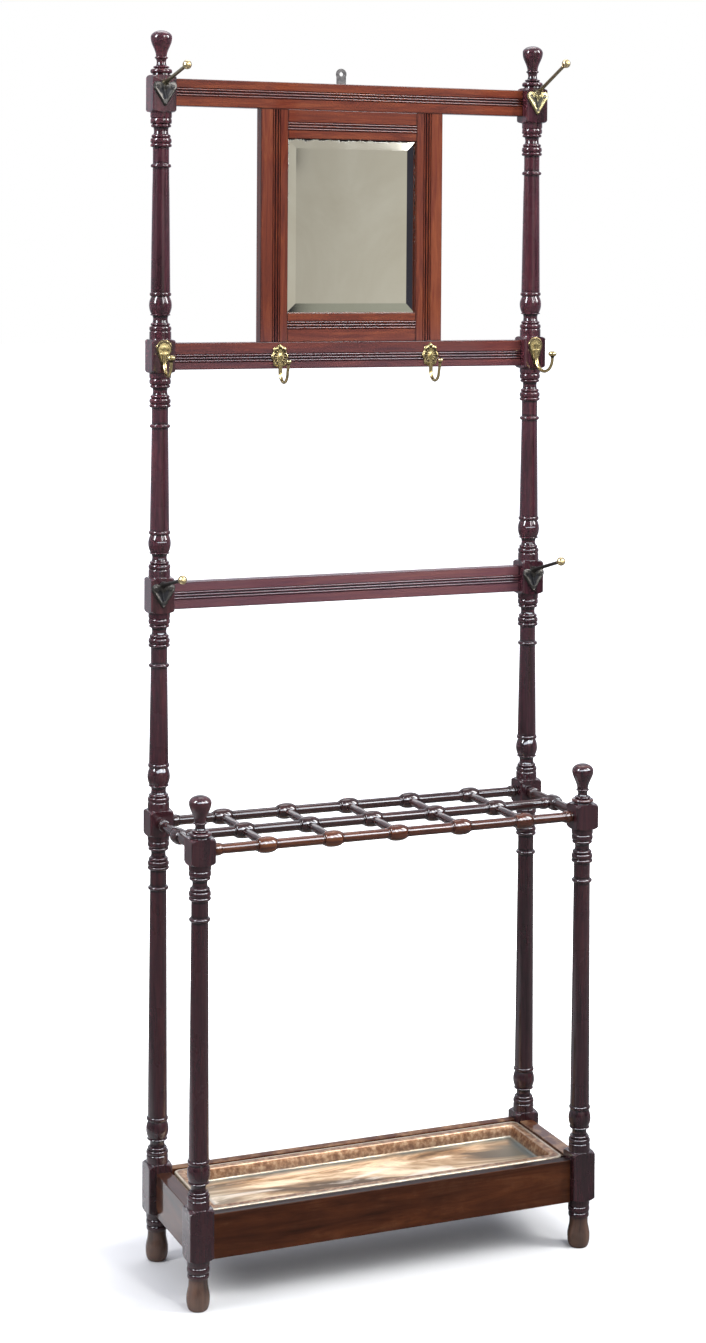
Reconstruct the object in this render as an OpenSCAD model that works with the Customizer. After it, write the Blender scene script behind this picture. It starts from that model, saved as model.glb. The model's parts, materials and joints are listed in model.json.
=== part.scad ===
// Hall tree: turned wooden posts joined by flat reeded rails, with a bevelled mirror,
// hat pegs, coat hooks, a turned stick grid and a lift-out metal drip tray.
// Origin: centre of the footprint on the floor. +X right, -Y front, +Z up. Millimetres.

/* [Overall] */
// Distance between the axes of the left and right posts
span_w = 685; // [560:1:840]
// Distance between the axes of the front and rear posts
span_d = 212; // [175:1:300]

/* [Levels] */
// Underside of the base blocks
base_z = 82; // [76:1:110]
// Underside of the grid blocks
grid_z = 717; // [560:1:870]
// Underside of the lower rail's blocks
low_z = 1090; // [1000:1:1180]
// Underside of the hook rail's blocks
hook_z = 1489; // [1400:1:1560]
// Underside of the top rail's blocks
top_z = 1920; // [1840:1:2310]

/* [Blocks] */
// Side of the square blocks
block = 41; // [39:0.5:50]
// Height of the base blocks
base_h = 83; // [80:1:100]
// Height of the grid blocks
grid_h = 43; // [36:1:52]
// Height of the lower rail's blocks
low_h = 59; // [56:1:72]
// Height of the hook rail's blocks
hook_h = 56; // [54:1:68]
// Height of the top rail's blocks
top_h = 61; // [56:1:74]
// Height over which a block rounds into the turning
shoulder_h = 9; // [4:0.5:10]

/* [Turnings] */
// Radius of the collars that meet the blocks
collar_r = 18.2; // [17:0.1:19.4]
// Radius of the necks between the beads
neck_r = 12.2; // [10:0.1:14]
// Radius of the shaft at its upper end
shaft_top_r = 13.9; // [12:0.1:15]
// Radius of the shaft at its lower end
shaft_low_r = 16.3; // [14:0.1:17]
// Radius of the ball at the foot of each bay
ball_r = 18.9; // [17:0.1:19.5]
// Radius of the foot where it bulges
foot_r = 19; // [17:0.1:21]
// Height of a rear finial above its block
rear_finial_h = 74; // [66:1:84]
// Height of a front finial above its block
front_finial_h = 67.5; // [64:0.5:80]
// Radius of the finials at their widest
finial_r = 18.2; // [16:0.1:20]
// Radius of the finial dowels
finial_dowel_r = 6; // [4.5:0.1:7]
// Length of the finial dowels
finial_dowel = 13; // [10:1:16]

/* [Rails] */
// Height of the three reeded rails
rail_h = 45; // [42:0.5:50]
// Thickness of the rails and of the mirror frame
rail_t = 21; // [19:0.5:23]
// Distance from a block's front face back to a rail's front face
rail_recess = 16; // [12:0.5:17]
// Height of the top rail's centre above its block's centre
top_rail_lift = 3.5; // [0:0.5:5]
// Depth of the reeds
reed_depth = 1.5; // [1:0.1:2]
// Width of one reed
reed_pitch = 4.8; // [3:0.1:5.8]
// Thickness of the rail tenons
tenon_t = 8; // [6:0.5:9]
// Length of the rail tenons
tenon_l = 14; // [10:1:18]
// Clearance around every tenon, dowel and loose panel in its hole
fit_gap = 0.15; // [0.1:0.05:0.3]

/* [Mirror] */
// Width of the glass that shows
sight_w = 237; // [190:1:290]
// Face width of the mirror frame's members
frame_bar = 49; // [42:1:56]
// Width of the rebate that holds the glass
rebate = 6; // [5:0.5:8]
// Thickness of the frame's lip in front of the glass
lip_t = 6; // [5:0.5:8]
// Thickness of the glass
glass_t = 4.5; // [4:0.1:6]
// Width of the bevel from the edge of the glass
bevel_w = 21; // [16:1:26]
// Depth of the bevel at the edge of the glass
bevel_d = 2; // [1.5:0.1:2.5]
// Thickness of the back board
board_t = 5; // [4:0.5:6]

/* [Hanger] */
// Radius of the hole for the wall screw
hanger_hole_r = 3.6; // [2.5:0.1:4.5]
// Width of the hanger plate
hanger_w = 17; // [14:0.5:20]
// Thickness of the hanger plate
hanger_t = 1.8; // [1.5:0.1:2.5]
// Height of the hole above the top rail
hanger_rise = 18.5; // [14:0.5:26]
// Place of the hanger to the left of the middle
hanger_off = 14; // [0:1:30]

/* [Hat pegs] */
// Distance from a block's front face to the ball's centre
peg_reach = 107; // [80:1:125]
// Radius of the peg's rod
peg_rod_r = 3; // [2.8:0.1:4]
// Radius of the brass ball
peg_ball_r = 7.5; // [6.5:0.1:9]
// Thickness of the shield plates
shield_t = 3.5; // [2.5:0.5:5]

/* [Coat hooks] */
// Thickness of the hooks' back plates
plate_t = 2.6; // [2:0.2:4]
// Radius of the bend in the block hooks
block_bend_r = 24; // [20:1:27]
// Radius of the bend in the rail hooks
rail_bend_r = 17; // [14:1:20]
// Radius of the hooks' prongs
prong_r = 2.6; // [1.8:0.1:3]

/* [Stick grid] */
// Radius of the plain bars
bar_r = 8.6; // [6.5:0.1:9.5]
// Radius of the bulbs
bulb_r = 13.6; // [12:0.1:16]
// Length of a bulb
bulb_l = 30; // [26:1:40]
// Share of a bay between a block and the first bulb
end_bay = 0.8; // [0.7:0.05:1]
// Radius of the bars' end dowels
bar_dowel_r = 4.5; // [4:0.1:5.2]
// Radius of the cross spindles
spindle_r = 7.2; // [5.5:0.1:8]
// Radius of the cross spindles' dowels
spindle_dowel_r = 3.2; // [2.5:0.1:3.8]

/* [Base] */
// Height of the aprons
apron_h = 73; // [66:1:76]
// Distance from the top of a base block down to the top of the aprons
apron_drop = 12.5; // [9:0.5:16]
// Thickness of the front and rear aprons
apron_t = 16; // [14:0.5:20]
// Thickness of the side aprons
side_apron_t = 25; // [20:0.5:26]
// Distance from a block's outer faces back to the aprons
apron_recess = 12.5; // [6:0.5:14]
// Height of the wooden strips that carry the tray
bearer_h = 14; // [10:1:20]

/* [Drip tray] */
// Gap between the tray and the aprons in front and behind
tray_gap_d = 5.5; // [2:0.5:8]
// Gap between the tray and the aprons at the sides
tray_gap_w = 5.5; // [2:0.5:8]
// Width of the tray's flat rim
tray_flange = 15; // [12:0.5:20]
// Depth of the tray
tray_depth = 20; // [14:1:30]
// Inward slope of the tray's walls over their depth
tray_slope = 5; // [2:0.5:8]
// Thickness of the tray's sheet metal
tray_t = 1.2; // [1:0.1:2]
// Radius of the rolled edge around the tray
roll_r = 1.8; // [1.5:0.1:2.4]

/* [Hidden] */
$fn = 48;

// Colours
wood_dark = [0.27, 0.12, 0.10];
wood_red = [0.47, 0.22, 0.15];
wood_brown = [0.33, 0.20, 0.14];
brass = [0.78, 0.66, 0.36];
iron = [0.27, 0.27, 0.26];
copper = [0.71, 0.52, 0.36];

half_w = span_w / 2;
half_d = span_d / 2;
half_b = block / 2;
eps = 0.5;              // how far joined shapes sink into each other
rest_gap = 0.3;         // room under the tray's edge
steps = 8;              // straight pieces in each turned curve

// ---------- outlines of turned work: lists of [radius, height] going up ----------

// A bead: a half ellipse from z0 to z1 that swells from r0 to r1
function bead(z0, z1, r0, r1) =
    [for (i = [0:steps]) let (a = 180 * i / steps)
        [r0 + (r1 - r0) * sin(a), (z0 + z1) / 2 - (z1 - z0) / 2 * cos(a)]];

// A bulge or, with r1 under r0, a hollow: a flat curve from z0 to z1
function bulge(z0, z1, r0, r1) =
    [for (i = [0:steps]) let (t = 2 * i / steps - 1)
        [r1 - (r1 - r0) * t * t, z0 + (z1 - z0) * i / steps]];

// A smooth S from [r0, z0] to [r1, z1]
function ogee(z0, z1, r0, r1) =
    [for (i = [0:steps]) let (t = i / steps)
        [r0 + (r1 - r0) * (1 - cos(180 * t)) / 2, z0 + (z1 - z0) * t]];

// A quarter ellipse that leaves [r0, z0] sideways and reaches [r1, z1] going up
function quarter(z0, z1, r0, r1) =
    [for (i = [0:steps]) let (a = 90 * i / steps)
        [r0 + (r1 - r0) * sin(a), z0 + (z1 - z0) * (1 - cos(a))]];

// The foot, from the floor up to the base block
foot_flat_r = foot_r - 5.5;
foot_neck_r = foot_r - 3.4;
function foot_outline() = concat([[0, 0]],
    quarter(0, base_z * 0.22, foot_flat_r, foot_r),
    ogee(base_z * 0.24, base_z * 0.54, foot_r, foot_neck_r),
    [[foot_neck_r, base_z * 0.61]],
    bead(base_z * 0.62, base_z * 0.73, foot_neck_r, collar_r - 0.6),
    bead(base_z * 0.735, base_z * 0.86, collar_r - 1.8, collar_r + 0.2),
    [[collar_r - 0.4, base_z * 0.87], [collar_r, base_z]]);

// The turnings that stand on a block whose top is at z
function bay_foot(z) = concat([[collar_r, z], [collar_r, z + 11], [collar_r - 0.6, z + 12.8]],
    bead(z + 13.6, z + 21.4, collar_r - 1.6, collar_r + 0.2),
    bead(z + 21.6, z + 27, neck_r + 1.6, neck_r + 4),
    bulge(z + 27.2, z + 38.6, neck_r + 1.2, neck_r),
    bead(z + 38.8, z + 42, neck_r + 1, collar_r - 1),
    bulge(z + 42, z + 70.3, ball_r - 3.4, ball_r),
    bead(z + 71, z + 77.8, shaft_low_r - 0.6, collar_r - 0.2),
    [[shaft_low_r, z + 78]]);

// The turnings that hang under a block whose underside is at z
function bay_head(z) = concat([[shaft_top_r, z - 91.8]],
    bead(z - 91.5, z - 85, shaft_top_r, collar_r - 0.9),
    [[shaft_top_r - 0.1, z - 84.6], [shaft_top_r - 0.1, z - 58]],
    bead(z - 57.6, z - 51.4, shaft_top_r + 1, collar_r - 0.2),
    bead(z - 51, z - 42.6, collar_r - 2.2, collar_r - 0.3),
    bead(z - 42.4, z - 36.6, neck_r + 1.5, collar_r - 2),
    bulge(z - 36, z - 25.4, neck_r + 0.7, neck_r - 0.1),
    bead(z - 25.2, z - 19.3, neck_r + 1, collar_r - 1.2),
    bead(z - 19, z - 9.8, collar_r - 1.8, collar_r - 0.1),
    [[collar_r - 0.6, z - 9.3], [collar_r, z - 7], [collar_r, z]]);

// A whole post up to z_top through the blocks given as [underside, height]
function post_outline(blocks) = concat(foot_outline(),
    [for (i = [0:len(blocks) - 2])
        for (p = concat(bay_foot(blocks[i][0] + blocks[i][1]), bay_head(blocks[i + 1][0]))) p],
    [for (last = [blocks[len(blocks) - 1]])
        for (p = [[collar_r, last[0] + last[1]], [0, last[0] + last[1]]]) p]);

// A finial of height h: its base beads and stem fill what its 43 mm head leaves
head_h = 43;
function finial_outline(h) = let (stem = h - head_h) concat([[0, 0], [collar_r - 3.2, 0]],
    bead(stem * 0.08, stem * 0.34, collar_r - 3.4, collar_r + 0.4),
    bead(stem * 0.36, stem * 0.5, 9.6, 13.6),
    bulge(stem * 0.52, stem * 0.86, 9, 7.9),
    bead(stem * 0.87, stem * 0.99, 8.8, 11.2),
    ogee(stem, stem + head_h * 0.72, 9.2, finial_r),
    [for (i = [1:steps]) let (a = 90 * i / steps)
        [finial_r * cos(a), stem + head_h * (0.72 + 0.28 * sin(a))]]);

// ---------- posts and finials ----------

corner_r = half_b * 1.4143 + 0.5;
module turned(points) {
    rotate_extrude() polygon(points);
}

// A square block with rounded shoulders
module square_block(z0, h) {
    intersection() {
        translate([-half_b, -half_b, z0]) cube([block, block, h]);
        turned(concat([[0, z0]], quarter(z0, z0 + shoulder_h, collar_r + 0.3, corner_r),
            [for (i = [steps:-1:0]) let (p = quarter(0, shoulder_h, collar_r + 0.3, corner_r)[i])
                [p[0], z0 + h - p[1]]],
            [[0, z0 + h]]));
    }
}

module post(blocks) {
    last = blocks[len(blocks) - 1];
    difference() {
        union() {
            turned(post_outline(blocks));
            for (b = blocks) square_block(b[0], b[1]);
        }
        translate([0, 0, last[0] + last[1] - finial_dowel - 1])
            cylinder(r = finial_dowel_r + fit_gap, h = finial_dowel + 2);
    }
}

rear_blocks = [[base_z, base_h], [grid_z, grid_h], [low_z, low_h], [hook_z, hook_h],
    [top_z, top_h]];
front_blocks = [[base_z, base_h], [grid_z, grid_h]];
rear_top = top_z + top_h;
front_top = grid_z + grid_h;

module rear_post(side) {
    color(wood_dark) difference() {
        translate([side * half_w, half_d, 0]) post(rear_blocks);
        rail_mortises();
        grid_holes();
        apron_mortises();
        fitting_pilot_holes();
    }
}

module front_post(side) {
    color(wood_dark) difference() {
        translate([side * half_w, -half_d, 0]) post(front_blocks);
        grid_holes();
        apron_mortises();
    }
}

module finial(side, y, z, h) {
    color(wood_dark) translate([side * half_w, y, z]) {
        turned(finial_outline(h));
        translate([0, 0, -finial_dowel]) cylinder(r = finial_dowel_r, h = finial_dowel + eps);
    }
}

// ---------- rails ----------

rail_y = half_d - half_b + rail_recess;      // front face of the rails
rail_len = span_w - block;
top_rail_z = top_z + top_h / 2 + top_rail_lift - rail_h / 2;
hook_rail_z = hook_z + hook_h / 2 - 1 - rail_h / 2;
low_rail_z = low_z + low_h / 2 - 3 - rail_h / 2;
tenon_h = rail_h - 20;
tenon_y = rail_y + rail_t / 2;
reeds = 3;
reed_band = reeds * reed_pitch;

// The reeds across a face: [place along the face, depth below the face]
function reed_points(start) = [for (i = [0:reeds - 1]) for (j = [0:6])
    [start + reed_pitch * (i + j / 6), reed_depth * (1 - sin(180 * j / 6))]];

// Section of a reeded bar: x is depth behind the front face, y runs across the face
module reeded_section(width, start) {
    polygon(concat([[0, 0]], [for (p = reed_points(start)) [p[1], p[0]]],
        [[0, width], [rail_t, width], [rail_t, 0]]));
}

// A reeded bar lying along X, centred, with its lower front edge on the axis
module reeded_rail(length, width, start) {
    translate([-length / 2, 0, 0])
        rotate([90, 0, 90]) linear_extrude(length) reeded_section(width, start);
}

// The tenons of a rail, or with grow above 0 the mortises for them
module rail_tenons(z, grow) {
    for (s = [-1, 1])
        translate([s * (rail_len / 2 + (tenon_l + grow * 4) / 2 - eps),
            tenon_y, z + rail_h / 2])
            cube([tenon_l + grow * 4 + 2 * eps, tenon_t + 2 * grow, tenon_h + 2 * grow],
                center = true);
}

module rail_mortises() {
    for (z = [top_rail_z, hook_rail_z, low_rail_z]) rail_tenons(z, fit_gap);
}

module rail(z, start) {
    union() {
        translate([0, rail_y, z]) reeded_rail(rail_len, rail_h, start);
        rail_tenons(z, 0);
    }
}

module top_rail() {
    color(wood_red) difference() {
        rail(top_rail_z, (rail_h - reed_band) / 2 + 1);
        stile_mortises();
        hanger_pilot_holes();
    }
}

module hook_rail() {
    color(wood_red) difference() {
        rail(hook_rail_z, (rail_h - reed_band) / 2 - 3.5);
        stile_mortises();
        fitting_pilot_holes();
    }
}

module lower_rail() {
    color(wood_red) rail(low_rail_z, (rail_h - reed_band) / 2);
}

// ---------- mirror ----------

frame_z0 = hook_rail_z + rail_h;             // underside of the mirror frame
frame_z1 = top_rail_z;                       // top of the mirror frame
frame_h = frame_z1 - frame_z0;
sight_z0 = frame_z0 + frame_bar;
sight_z1 = frame_z1 - frame_bar;
sight_h = sight_z1 - sight_z0;
sight_mid = (sight_z0 + sight_z1) / 2;
stub_l = min(12, rail_h / 2 - 10.5);         // tenons of the stiles, clear of the hooks' screws
bar_tenon_l = 24;                            // tenons of the frame's bars into the stiles
bar_tenon_h = frame_bar - 20;
bar_tenon_z = (frame_bar - rebate) / 2 + rebate;   // tenon centre above the sight edge
frame_tenon_t = 7;
inner_reed = 13.5;                           // flat beside the glass before the reeds

// The stiles' stub tenons into the top rail and the hook rail, or the mortises for them
module stile_stubs(grow) {
    for (s = [-1, 1]) for (e = [0, 1])
        translate([s * (sight_w + frame_bar) / 2, tenon_y,
            e == 0 ? frame_z0 - (stub_l + grow * 4) / 2 + eps
                : frame_z1 + (stub_l + grow * 4) / 2 - eps])
            cube([frame_bar - 16 + 2 * grow, frame_tenon_t + 2 * grow,
                stub_l + grow * 4 + 2 * eps], center = true);
}

module stile_mortises() {
    stile_stubs(fit_gap);
}

// The bars' tenons into the stiles, or the mortises for them
module bar_tenons(z, up, grow) {
    for (s = [-1, 1])
        translate([s * (sight_w / 2 + (bar_tenon_l + grow * 4) / 2 - eps), tenon_y,
            z + up * bar_tenon_z])
            cube([bar_tenon_l + grow * 4 + 2 * eps, frame_tenon_t + 2 * grow,
                bar_tenon_h + 2 * grow], center = true);
}

// The rebate behind the lip, cut out of stiles and bars alike
module rebate_cut() {
    translate([-sight_w / 2 - rebate, rail_y + lip_t, sight_z0 - rebate])
        cube([sight_w + 2 * rebate, rail_t, sight_h + 2 * rebate]);
}

module mirror_stile(side) {
    color(wood_red) difference() {
        union() {
            translate([side * sight_w / 2, rail_y, frame_z0])
                mirror([side < 0 ? 1 : 0, 0, 0])
                    linear_extrude(frame_h)
                        mirror([1, -1, 0]) reeded_section(frame_bar, inner_reed);
            intersection() {
                stile_stubs(0);
                translate([side * span_w / 4 - span_w / 4, 0, frame_z0 - frame_h])
                    cube([span_w / 2, span_d, 3 * frame_h]);
            }
        }
        rebate_cut();
        bar_tenons(sight_z0, -1, fit_gap);
        bar_tenons(sight_z1, 1, fit_gap);
        brads(fit_gap / 3);
    }
}

module mirror_frame_top() {
    color(wood_red) difference() {
        union() {
            translate([0, rail_y, sight_z1]) reeded_rail(sight_w, frame_bar, inner_reed);
            bar_tenons(sight_z1, 1, 0);
        }
        rebate_cut();
        brads(fit_gap / 3);
    }
}

module mirror_frame_bottom() {
    color(wood_red) difference() {
        union() {
            translate([0, rail_y, frame_z0])
                reeded_rail(sight_w, frame_bar, frame_bar - inner_reed - reed_band);
            bar_tenons(sight_z0, -1, 0);
        }
        rebate_cut();
        brads(fit_gap / 3);
    }
}

panel_gap = 1;                               // play of the glass and board in the rebate
glass_w = sight_w + 2 * (rebate - panel_gap);
glass_h = sight_h + 2 * (rebate - panel_gap);
glass_edge_y = rail_y + lip_t + bevel_d * (rebate - panel_gap) / bevel_w + 0.1;
glass_back_y = glass_edge_y + glass_t - bevel_d;
board_y = glass_back_y + 0.4;

// Bevelled plate: two trapezoid prisms crossed
function bevel_section(w) = [[-w / 2, glass_t - bevel_d], [-w / 2 + bevel_w, 0],
    [w / 2 - bevel_w, 0], [w / 2, glass_t - bevel_d], [w / 2, glass_t], [-w / 2, glass_t]];

module mirror_glass() {
    color([0.68, 0.67, 0.62])
        translate([0, glass_back_y - glass_t, sight_mid]) intersection() {
            translate([0, 0, -glass_h / 2]) linear_extrude(glass_h)
                polygon([for (p = bevel_section(glass_w))
                    [p[0], p[1] == 0 ? 0 : p[1] == glass_t ? glass_t : bevel_d]]);
            translate([-glass_w / 2, 0, 0]) rotate([90, 0, 90]) linear_extrude(glass_w)
                polygon([for (p = bevel_section(glass_h))
                    [p[1] == 0 ? 0 : p[1] == glass_t ? glass_t : bevel_d, p[0]]]);
        }
}

module mirror_back_board() {
    color([0.55, 0.42, 0.28])
        translate([-glass_w / 2, board_y, sight_mid - glass_h / 2])
            cube([glass_w, board_t, glass_h]);
}

// Headless brads driven into the rebate's walls behind the board
brad_r = 0.9;
brad_l = 14;
module brads(grow) {
    y = board_y + board_t + brad_r + 0.2;
    for (s = [-1, 1]) for (z = [-1, 0, 1])
        translate([s * (sight_w / 2 + rebate), y, sight_mid + z * sight_h * 0.36])
            rotate([0, 90, 0]) cylinder(r = brad_r + grow, h = brad_l + grow * 8, center = true);
    for (s = [-1, 1]) for (x = [-1, 1])
        translate([x * sight_w * 0.28, y, sight_mid + s * (sight_h / 2 + rebate)])
            cylinder(r = brad_r + grow, h = brad_l + grow * 8, center = true);
}

module back_board_brads() {
    color(iron) brads(0);
}

// ---------- screws ----------

// A countersunk wood screw: head flush with the origin, shank going along -Z
screw_r = 1.6;
screw_head_r = 3.2;
screw_head_h = 2;
module screw(length) {
    difference() {
        union() {
            translate([0, 0, -screw_head_h])
                cylinder(r1 = screw_r, r2 = screw_head_r, h = screw_head_h);
            translate([0, 0, -length]) cylinder(r = screw_r, h = length - screw_head_h + 0.1);
        }
        translate([0, 0, 0]) cube([2 * screw_head_r + 1, 0.7, 1.4], center = true);
    }
}

// What a screw needs cut out of the plate and the wood
module screw_space(length) {
    translate([0, 0, -screw_head_h - 0.02])
        cylinder(r1 = screw_r + 0.08, r2 = screw_head_r + 0.16, h = screw_head_h + 0.08);
    translate([0, 0, -length - 0.5]) cylinder(r = screw_r + 0.06, h = length + 0.4);
}

// ---------- hanger plate ----------

hanger_y = rail_y + rail_t;
hanger_hole_z = top_rail_z + rail_h + hanger_rise;
hanger_head_r = hanger_w / 2 + 1;
hanger_screw_l = 12;
module at_hanger_screws() {
    for (dz = [-12, -30])
        translate([-hanger_off, hanger_y + hanger_t, top_rail_z + rail_h + dz])
            rotate([-90, 0, 0]) children();
}

module hanger_plate() {
    color(iron) difference() {
        translate([-hanger_off, hanger_y + hanger_t, hanger_hole_z]) rotate([90, 0, 0])
            linear_extrude(hanger_t) {
                circle(r = hanger_head_r);
                translate([-hanger_w / 2, -hanger_rise - 36])
                    square([hanger_w, hanger_rise + 36]);
            }
        translate([-hanger_off, hanger_y + hanger_t / 2, hanger_hole_z]) rotate([90, 0, 0])
            cylinder(r = hanger_hole_r, h = hanger_t + 2, center = true);
        at_hanger_screws() screw_space(hanger_screw_l);
    }
}

module hanger_pilot_holes() {
    at_hanger_screws() screw_space(hanger_screw_l);
}

module hanger_screws() {
    color(iron) at_hanger_screws() screw(hanger_screw_l);
}

// ---------- hat pegs ----------

block_y = half_d - half_b;                   // front face of the rear blocks
// Each peg: side, height of its plate's centre, upward tilt of its rod, extra reach
PEGS = [[-1, top_z + top_h / 2, 11, 5], [1, top_z + top_h / 2 + 4.5, 22.5, 0],
    [-1, low_z + low_h / 2 + 1, 12, -8], [1, low_z + low_h / 2 - 3, 14.5, -2]];
lobe_r = 8;
rod_root_z = 18;                             // rod's start above the plate's centre

function arc(cx, cy, r, a0, a1) =
    [for (i = [0:steps]) let (a = a0 + (a1 - a0) * i / steps) [cx + r * cos(a), cy + r * sin(a)]];

// Shield outline: two round lobes beside the rod's boss, over a blunt point
function shield_outline() = concat(arc(12.5, 11.5, lobe_r, -32, 100),
    arc(0, rod_root_z - 1, 6.5, 10, 170), arc(-12.5, 11.5, lobe_r, 80, 212),
    arc(0, -18.5, 2.6, 212, 328));

peg_screw_l = 15;
module at_peg_screws() {
    for (p = PEGS) for (q = [[-13, 11], [13, 11], [0, -13]])
        translate([p[0] * half_w + q[0], block_y - shield_t, p[1] + q[1]])
            rotate([90, 0, 0]) children();
}

module at_rod(p) {
    translate([p[0] * half_w, block_y - shield_t, p[1] + rod_root_z])
        rotate([90 - p[2], 0, 0]) children();
}

function rod_length(p) = (peg_reach + p[3] - shield_t) / cos(p[2]);
socket_l = 6;                                // how far the rod's pin enters the ball

module hat_peg(p) {
    color(iron) difference() {
        union() {
            translate([p[0] * half_w, block_y, p[1]]) rotate([90, 0, 0])
                linear_extrude(shield_t) polygon(shield_outline());
            at_rod(p) {
                translate([0, 0, -1]) cylinder(r1 = peg_rod_r + 2.4, r2 = peg_rod_r + 0.6, h = 9);
                cylinder(r = peg_rod_r, h = rod_length(p) - peg_ball_r);
                cylinder(r = peg_rod_r - 0.9, h = rod_length(p) - peg_ball_r + socket_l);
            }
        }
        at_peg_screws() screw_space(peg_screw_l);
        translate([p[0] * half_w - block, block_y, p[1] - block])
            cube([2 * block, block, 2 * block]);
    }
}

module peg_ball(p) {
    color(brass) at_rod(p) difference() {
        union() {
            translate([0, 0, rod_length(p)]) sphere(r = peg_ball_r);
            translate([0, 0, rod_length(p) - peg_ball_r])
                cylinder(r = peg_rod_r + 1.2, h = 2.5);
        }
        translate([0, 0, rod_length(p) - peg_ball_r - 0.02])
            cylinder(r = peg_rod_r - 0.85, h = socket_l + 0.5);
        translate([0, 0, rod_length(p) - peg_ball_r - 2])
            cylinder(r = peg_rod_r + 2, h = 2.02);
    }
}

module hat_peg_screws() {
    color(iron) at_peg_screws() screw(peg_screw_l);
}

// ---------- coat hooks ----------

block_hook_z = hook_z + hook_h / 2 + 5.5;    // centre of the block hooks' plates
rail_hook_z = hook_rail_z + rail_h / 2 - 2;  // centre of the rail hooks' plates
left_rail_hook_x = -(sight_w + frame_bar) / 2 + 11;
right_rail_hook_x = (sight_w + frame_bar) / 2 + 4;
// Each hook: place, front face behind it, plate centre, sideways set, on a block or not
BLOCK_HOOKS = [[-half_w, block_y, block_hook_z, -5], [half_w, block_y, block_hook_z, 9]];
RAIL_HOOKS = [[left_rail_hook_x, rail_y, rail_hook_z], [right_rail_hook_x, rail_y, rail_hook_z]];
hook_screw_l = 13;
rail_hook_screws = [-12, 9];                  // heights of the rail hooks' screws

// Half a ring of round bar in the YZ plane, from under the plate forward and up
prong_y = -prong_r - 0.3;                    // the prong's axis where it leaves the plate
module hook_bend(bend_r, start_z) {
    translate([0, prong_y - bend_r, start_z]) rotate([0, 90, 0]) rotate([0, 0, -90])
        rotate_extrude(angle = 180) translate([bend_r, 0]) circle(r = prong_r, $fn = 24);
}

module block_hook(h) {
    tip_y = prong_y - 2 * block_bend_r;
    tip_z = -13.5;
    color(brass) translate([h[0], h[1], h[2]]) difference() {
        union() {
            rotate([90, 0, 0]) linear_extrude(plate_t)
                polygon(concat(arc(0, 8, 13.5, -14, 194), arc(0, -23.5, 3.6, 194, 346)));
            rotate([0, 0, h[3]]) {
                hook_bend(block_bend_r, tip_z);
                translate([0, tip_y, tip_z]) turned([[0, -1], [prong_r + 0.5, -1],
                    [prong_r + 0.6, 1.5], [4.8, 2.8], [6.8, 4.6], [7.4, 6.8], [6.6, 8.9],
                    [4.2, 10.5], [0, 11.2]]);
            }
        }
        for (x = [-7.4, 7.4]) translate([x, -plate_t, 3]) rotate([90, 0, 0])
            screw_space(hook_screw_l);
    }
}

// Cartouche outline with eight soft lobes
function cartouche() = [for (i = [0:71]) let (a = 5 * i, lobe = 1.3 * cos(8 * a))
    [(14.6 + lobe) * cos(a), (20 + lobe) * sin(a)]];

module rail_hook(h) {
    start_z = -26;
    lean = 17;
    rise = 19;
    color(brass) translate([h[0], h[1], h[2]]) difference() {
        union() {
            rotate([90, 0, 0]) linear_extrude(plate_t) polygon(cartouche());
            translate([0, prong_y - 0.1, start_z - 1])
                cylinder(r1 = prong_r + 0.2, r2 = prong_r + 0.3, h = 14);
            hook_bend(rail_bend_r, start_z);
            translate([0, prong_y - 2 * rail_bend_r, start_z - 1])
                rotate([lean, 0, 0]) {
                    cylinder(r1 = prong_r + 0.4, r2 = prong_r + 0.2, h = rise + 1);
                    translate([0, 0, rise + 1]) sphere(r = 4.2);
                }
        }
        for (z = rail_hook_screws) translate([0, -plate_t, z]) rotate([90, 0, 0])
            screw_space(hook_screw_l);
    }
}

module at_hook_screws() {
    for (h = BLOCK_HOOKS) for (x = [-7.4, 7.4])
        translate([h[0] + x, h[1] - plate_t, h[2] + 3]) rotate([90, 0, 0]) children();
    for (h = RAIL_HOOKS) for (z = rail_hook_screws)
        translate([h[0], h[1] - plate_t, h[2] + z]) rotate([90, 0, 0]) children();
}

module coat_hook_screws() {
    color(brass) at_hook_screws() screw(hook_screw_l);
}

module fitting_pilot_holes() {
    at_peg_screws() screw_space(peg_screw_l);
    at_hook_screws() screw_space(hook_screw_l);
}

// ---------- stick grid ----------

bar_z = grid_z + grid_h / 2;
bar_len = span_w - block;                    // back and front bars between blocks
side_len = span_d - block;                   // side bars between blocks
middle_len = span_w - 2 * bulb_r;            // middle bar between the side bars' bulbs
grid_pitch = bar_len / (4 + 2 * end_bay);
bulb_at = [for (i = [-2:2]) i * grid_pitch];
bar_dowel = 13;
short_dowel = 8;
dowel_room = 1;

// A turned bar along Z: plain shaft with end beads, and bulbs at the given places
function bar_outline(length, bulbs, dowel) = concat(
    [[0, -length / 2 - dowel], [bar_dowel_r, -length / 2 - dowel],
        [bar_dowel_r, -length / 2], [bar_r - 0.6, -length / 2]],
    bead(-length / 2 + 2, -length / 2 + 12, bar_r - 0.2, bar_r + 1.9),
    [for (c = bulbs) for (p = concat([[bar_r - 0.6, c - bulb_l / 2 - 1.5]],
        bead(c - bulb_l / 2, c + bulb_l / 2, bar_r + 0.9, bulb_r),
        [[bar_r - 0.6, c + bulb_l / 2 + 1.5]])) p],
    bead(length / 2 - 12, length / 2 - 2, bar_r - 0.2, bar_r + 1.9),
    [[bar_r - 0.6, length / 2], [bar_dowel_r, length / 2],
        [bar_dowel_r, length / 2 + dowel], [0, length / 2 + dowel]]);

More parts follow.
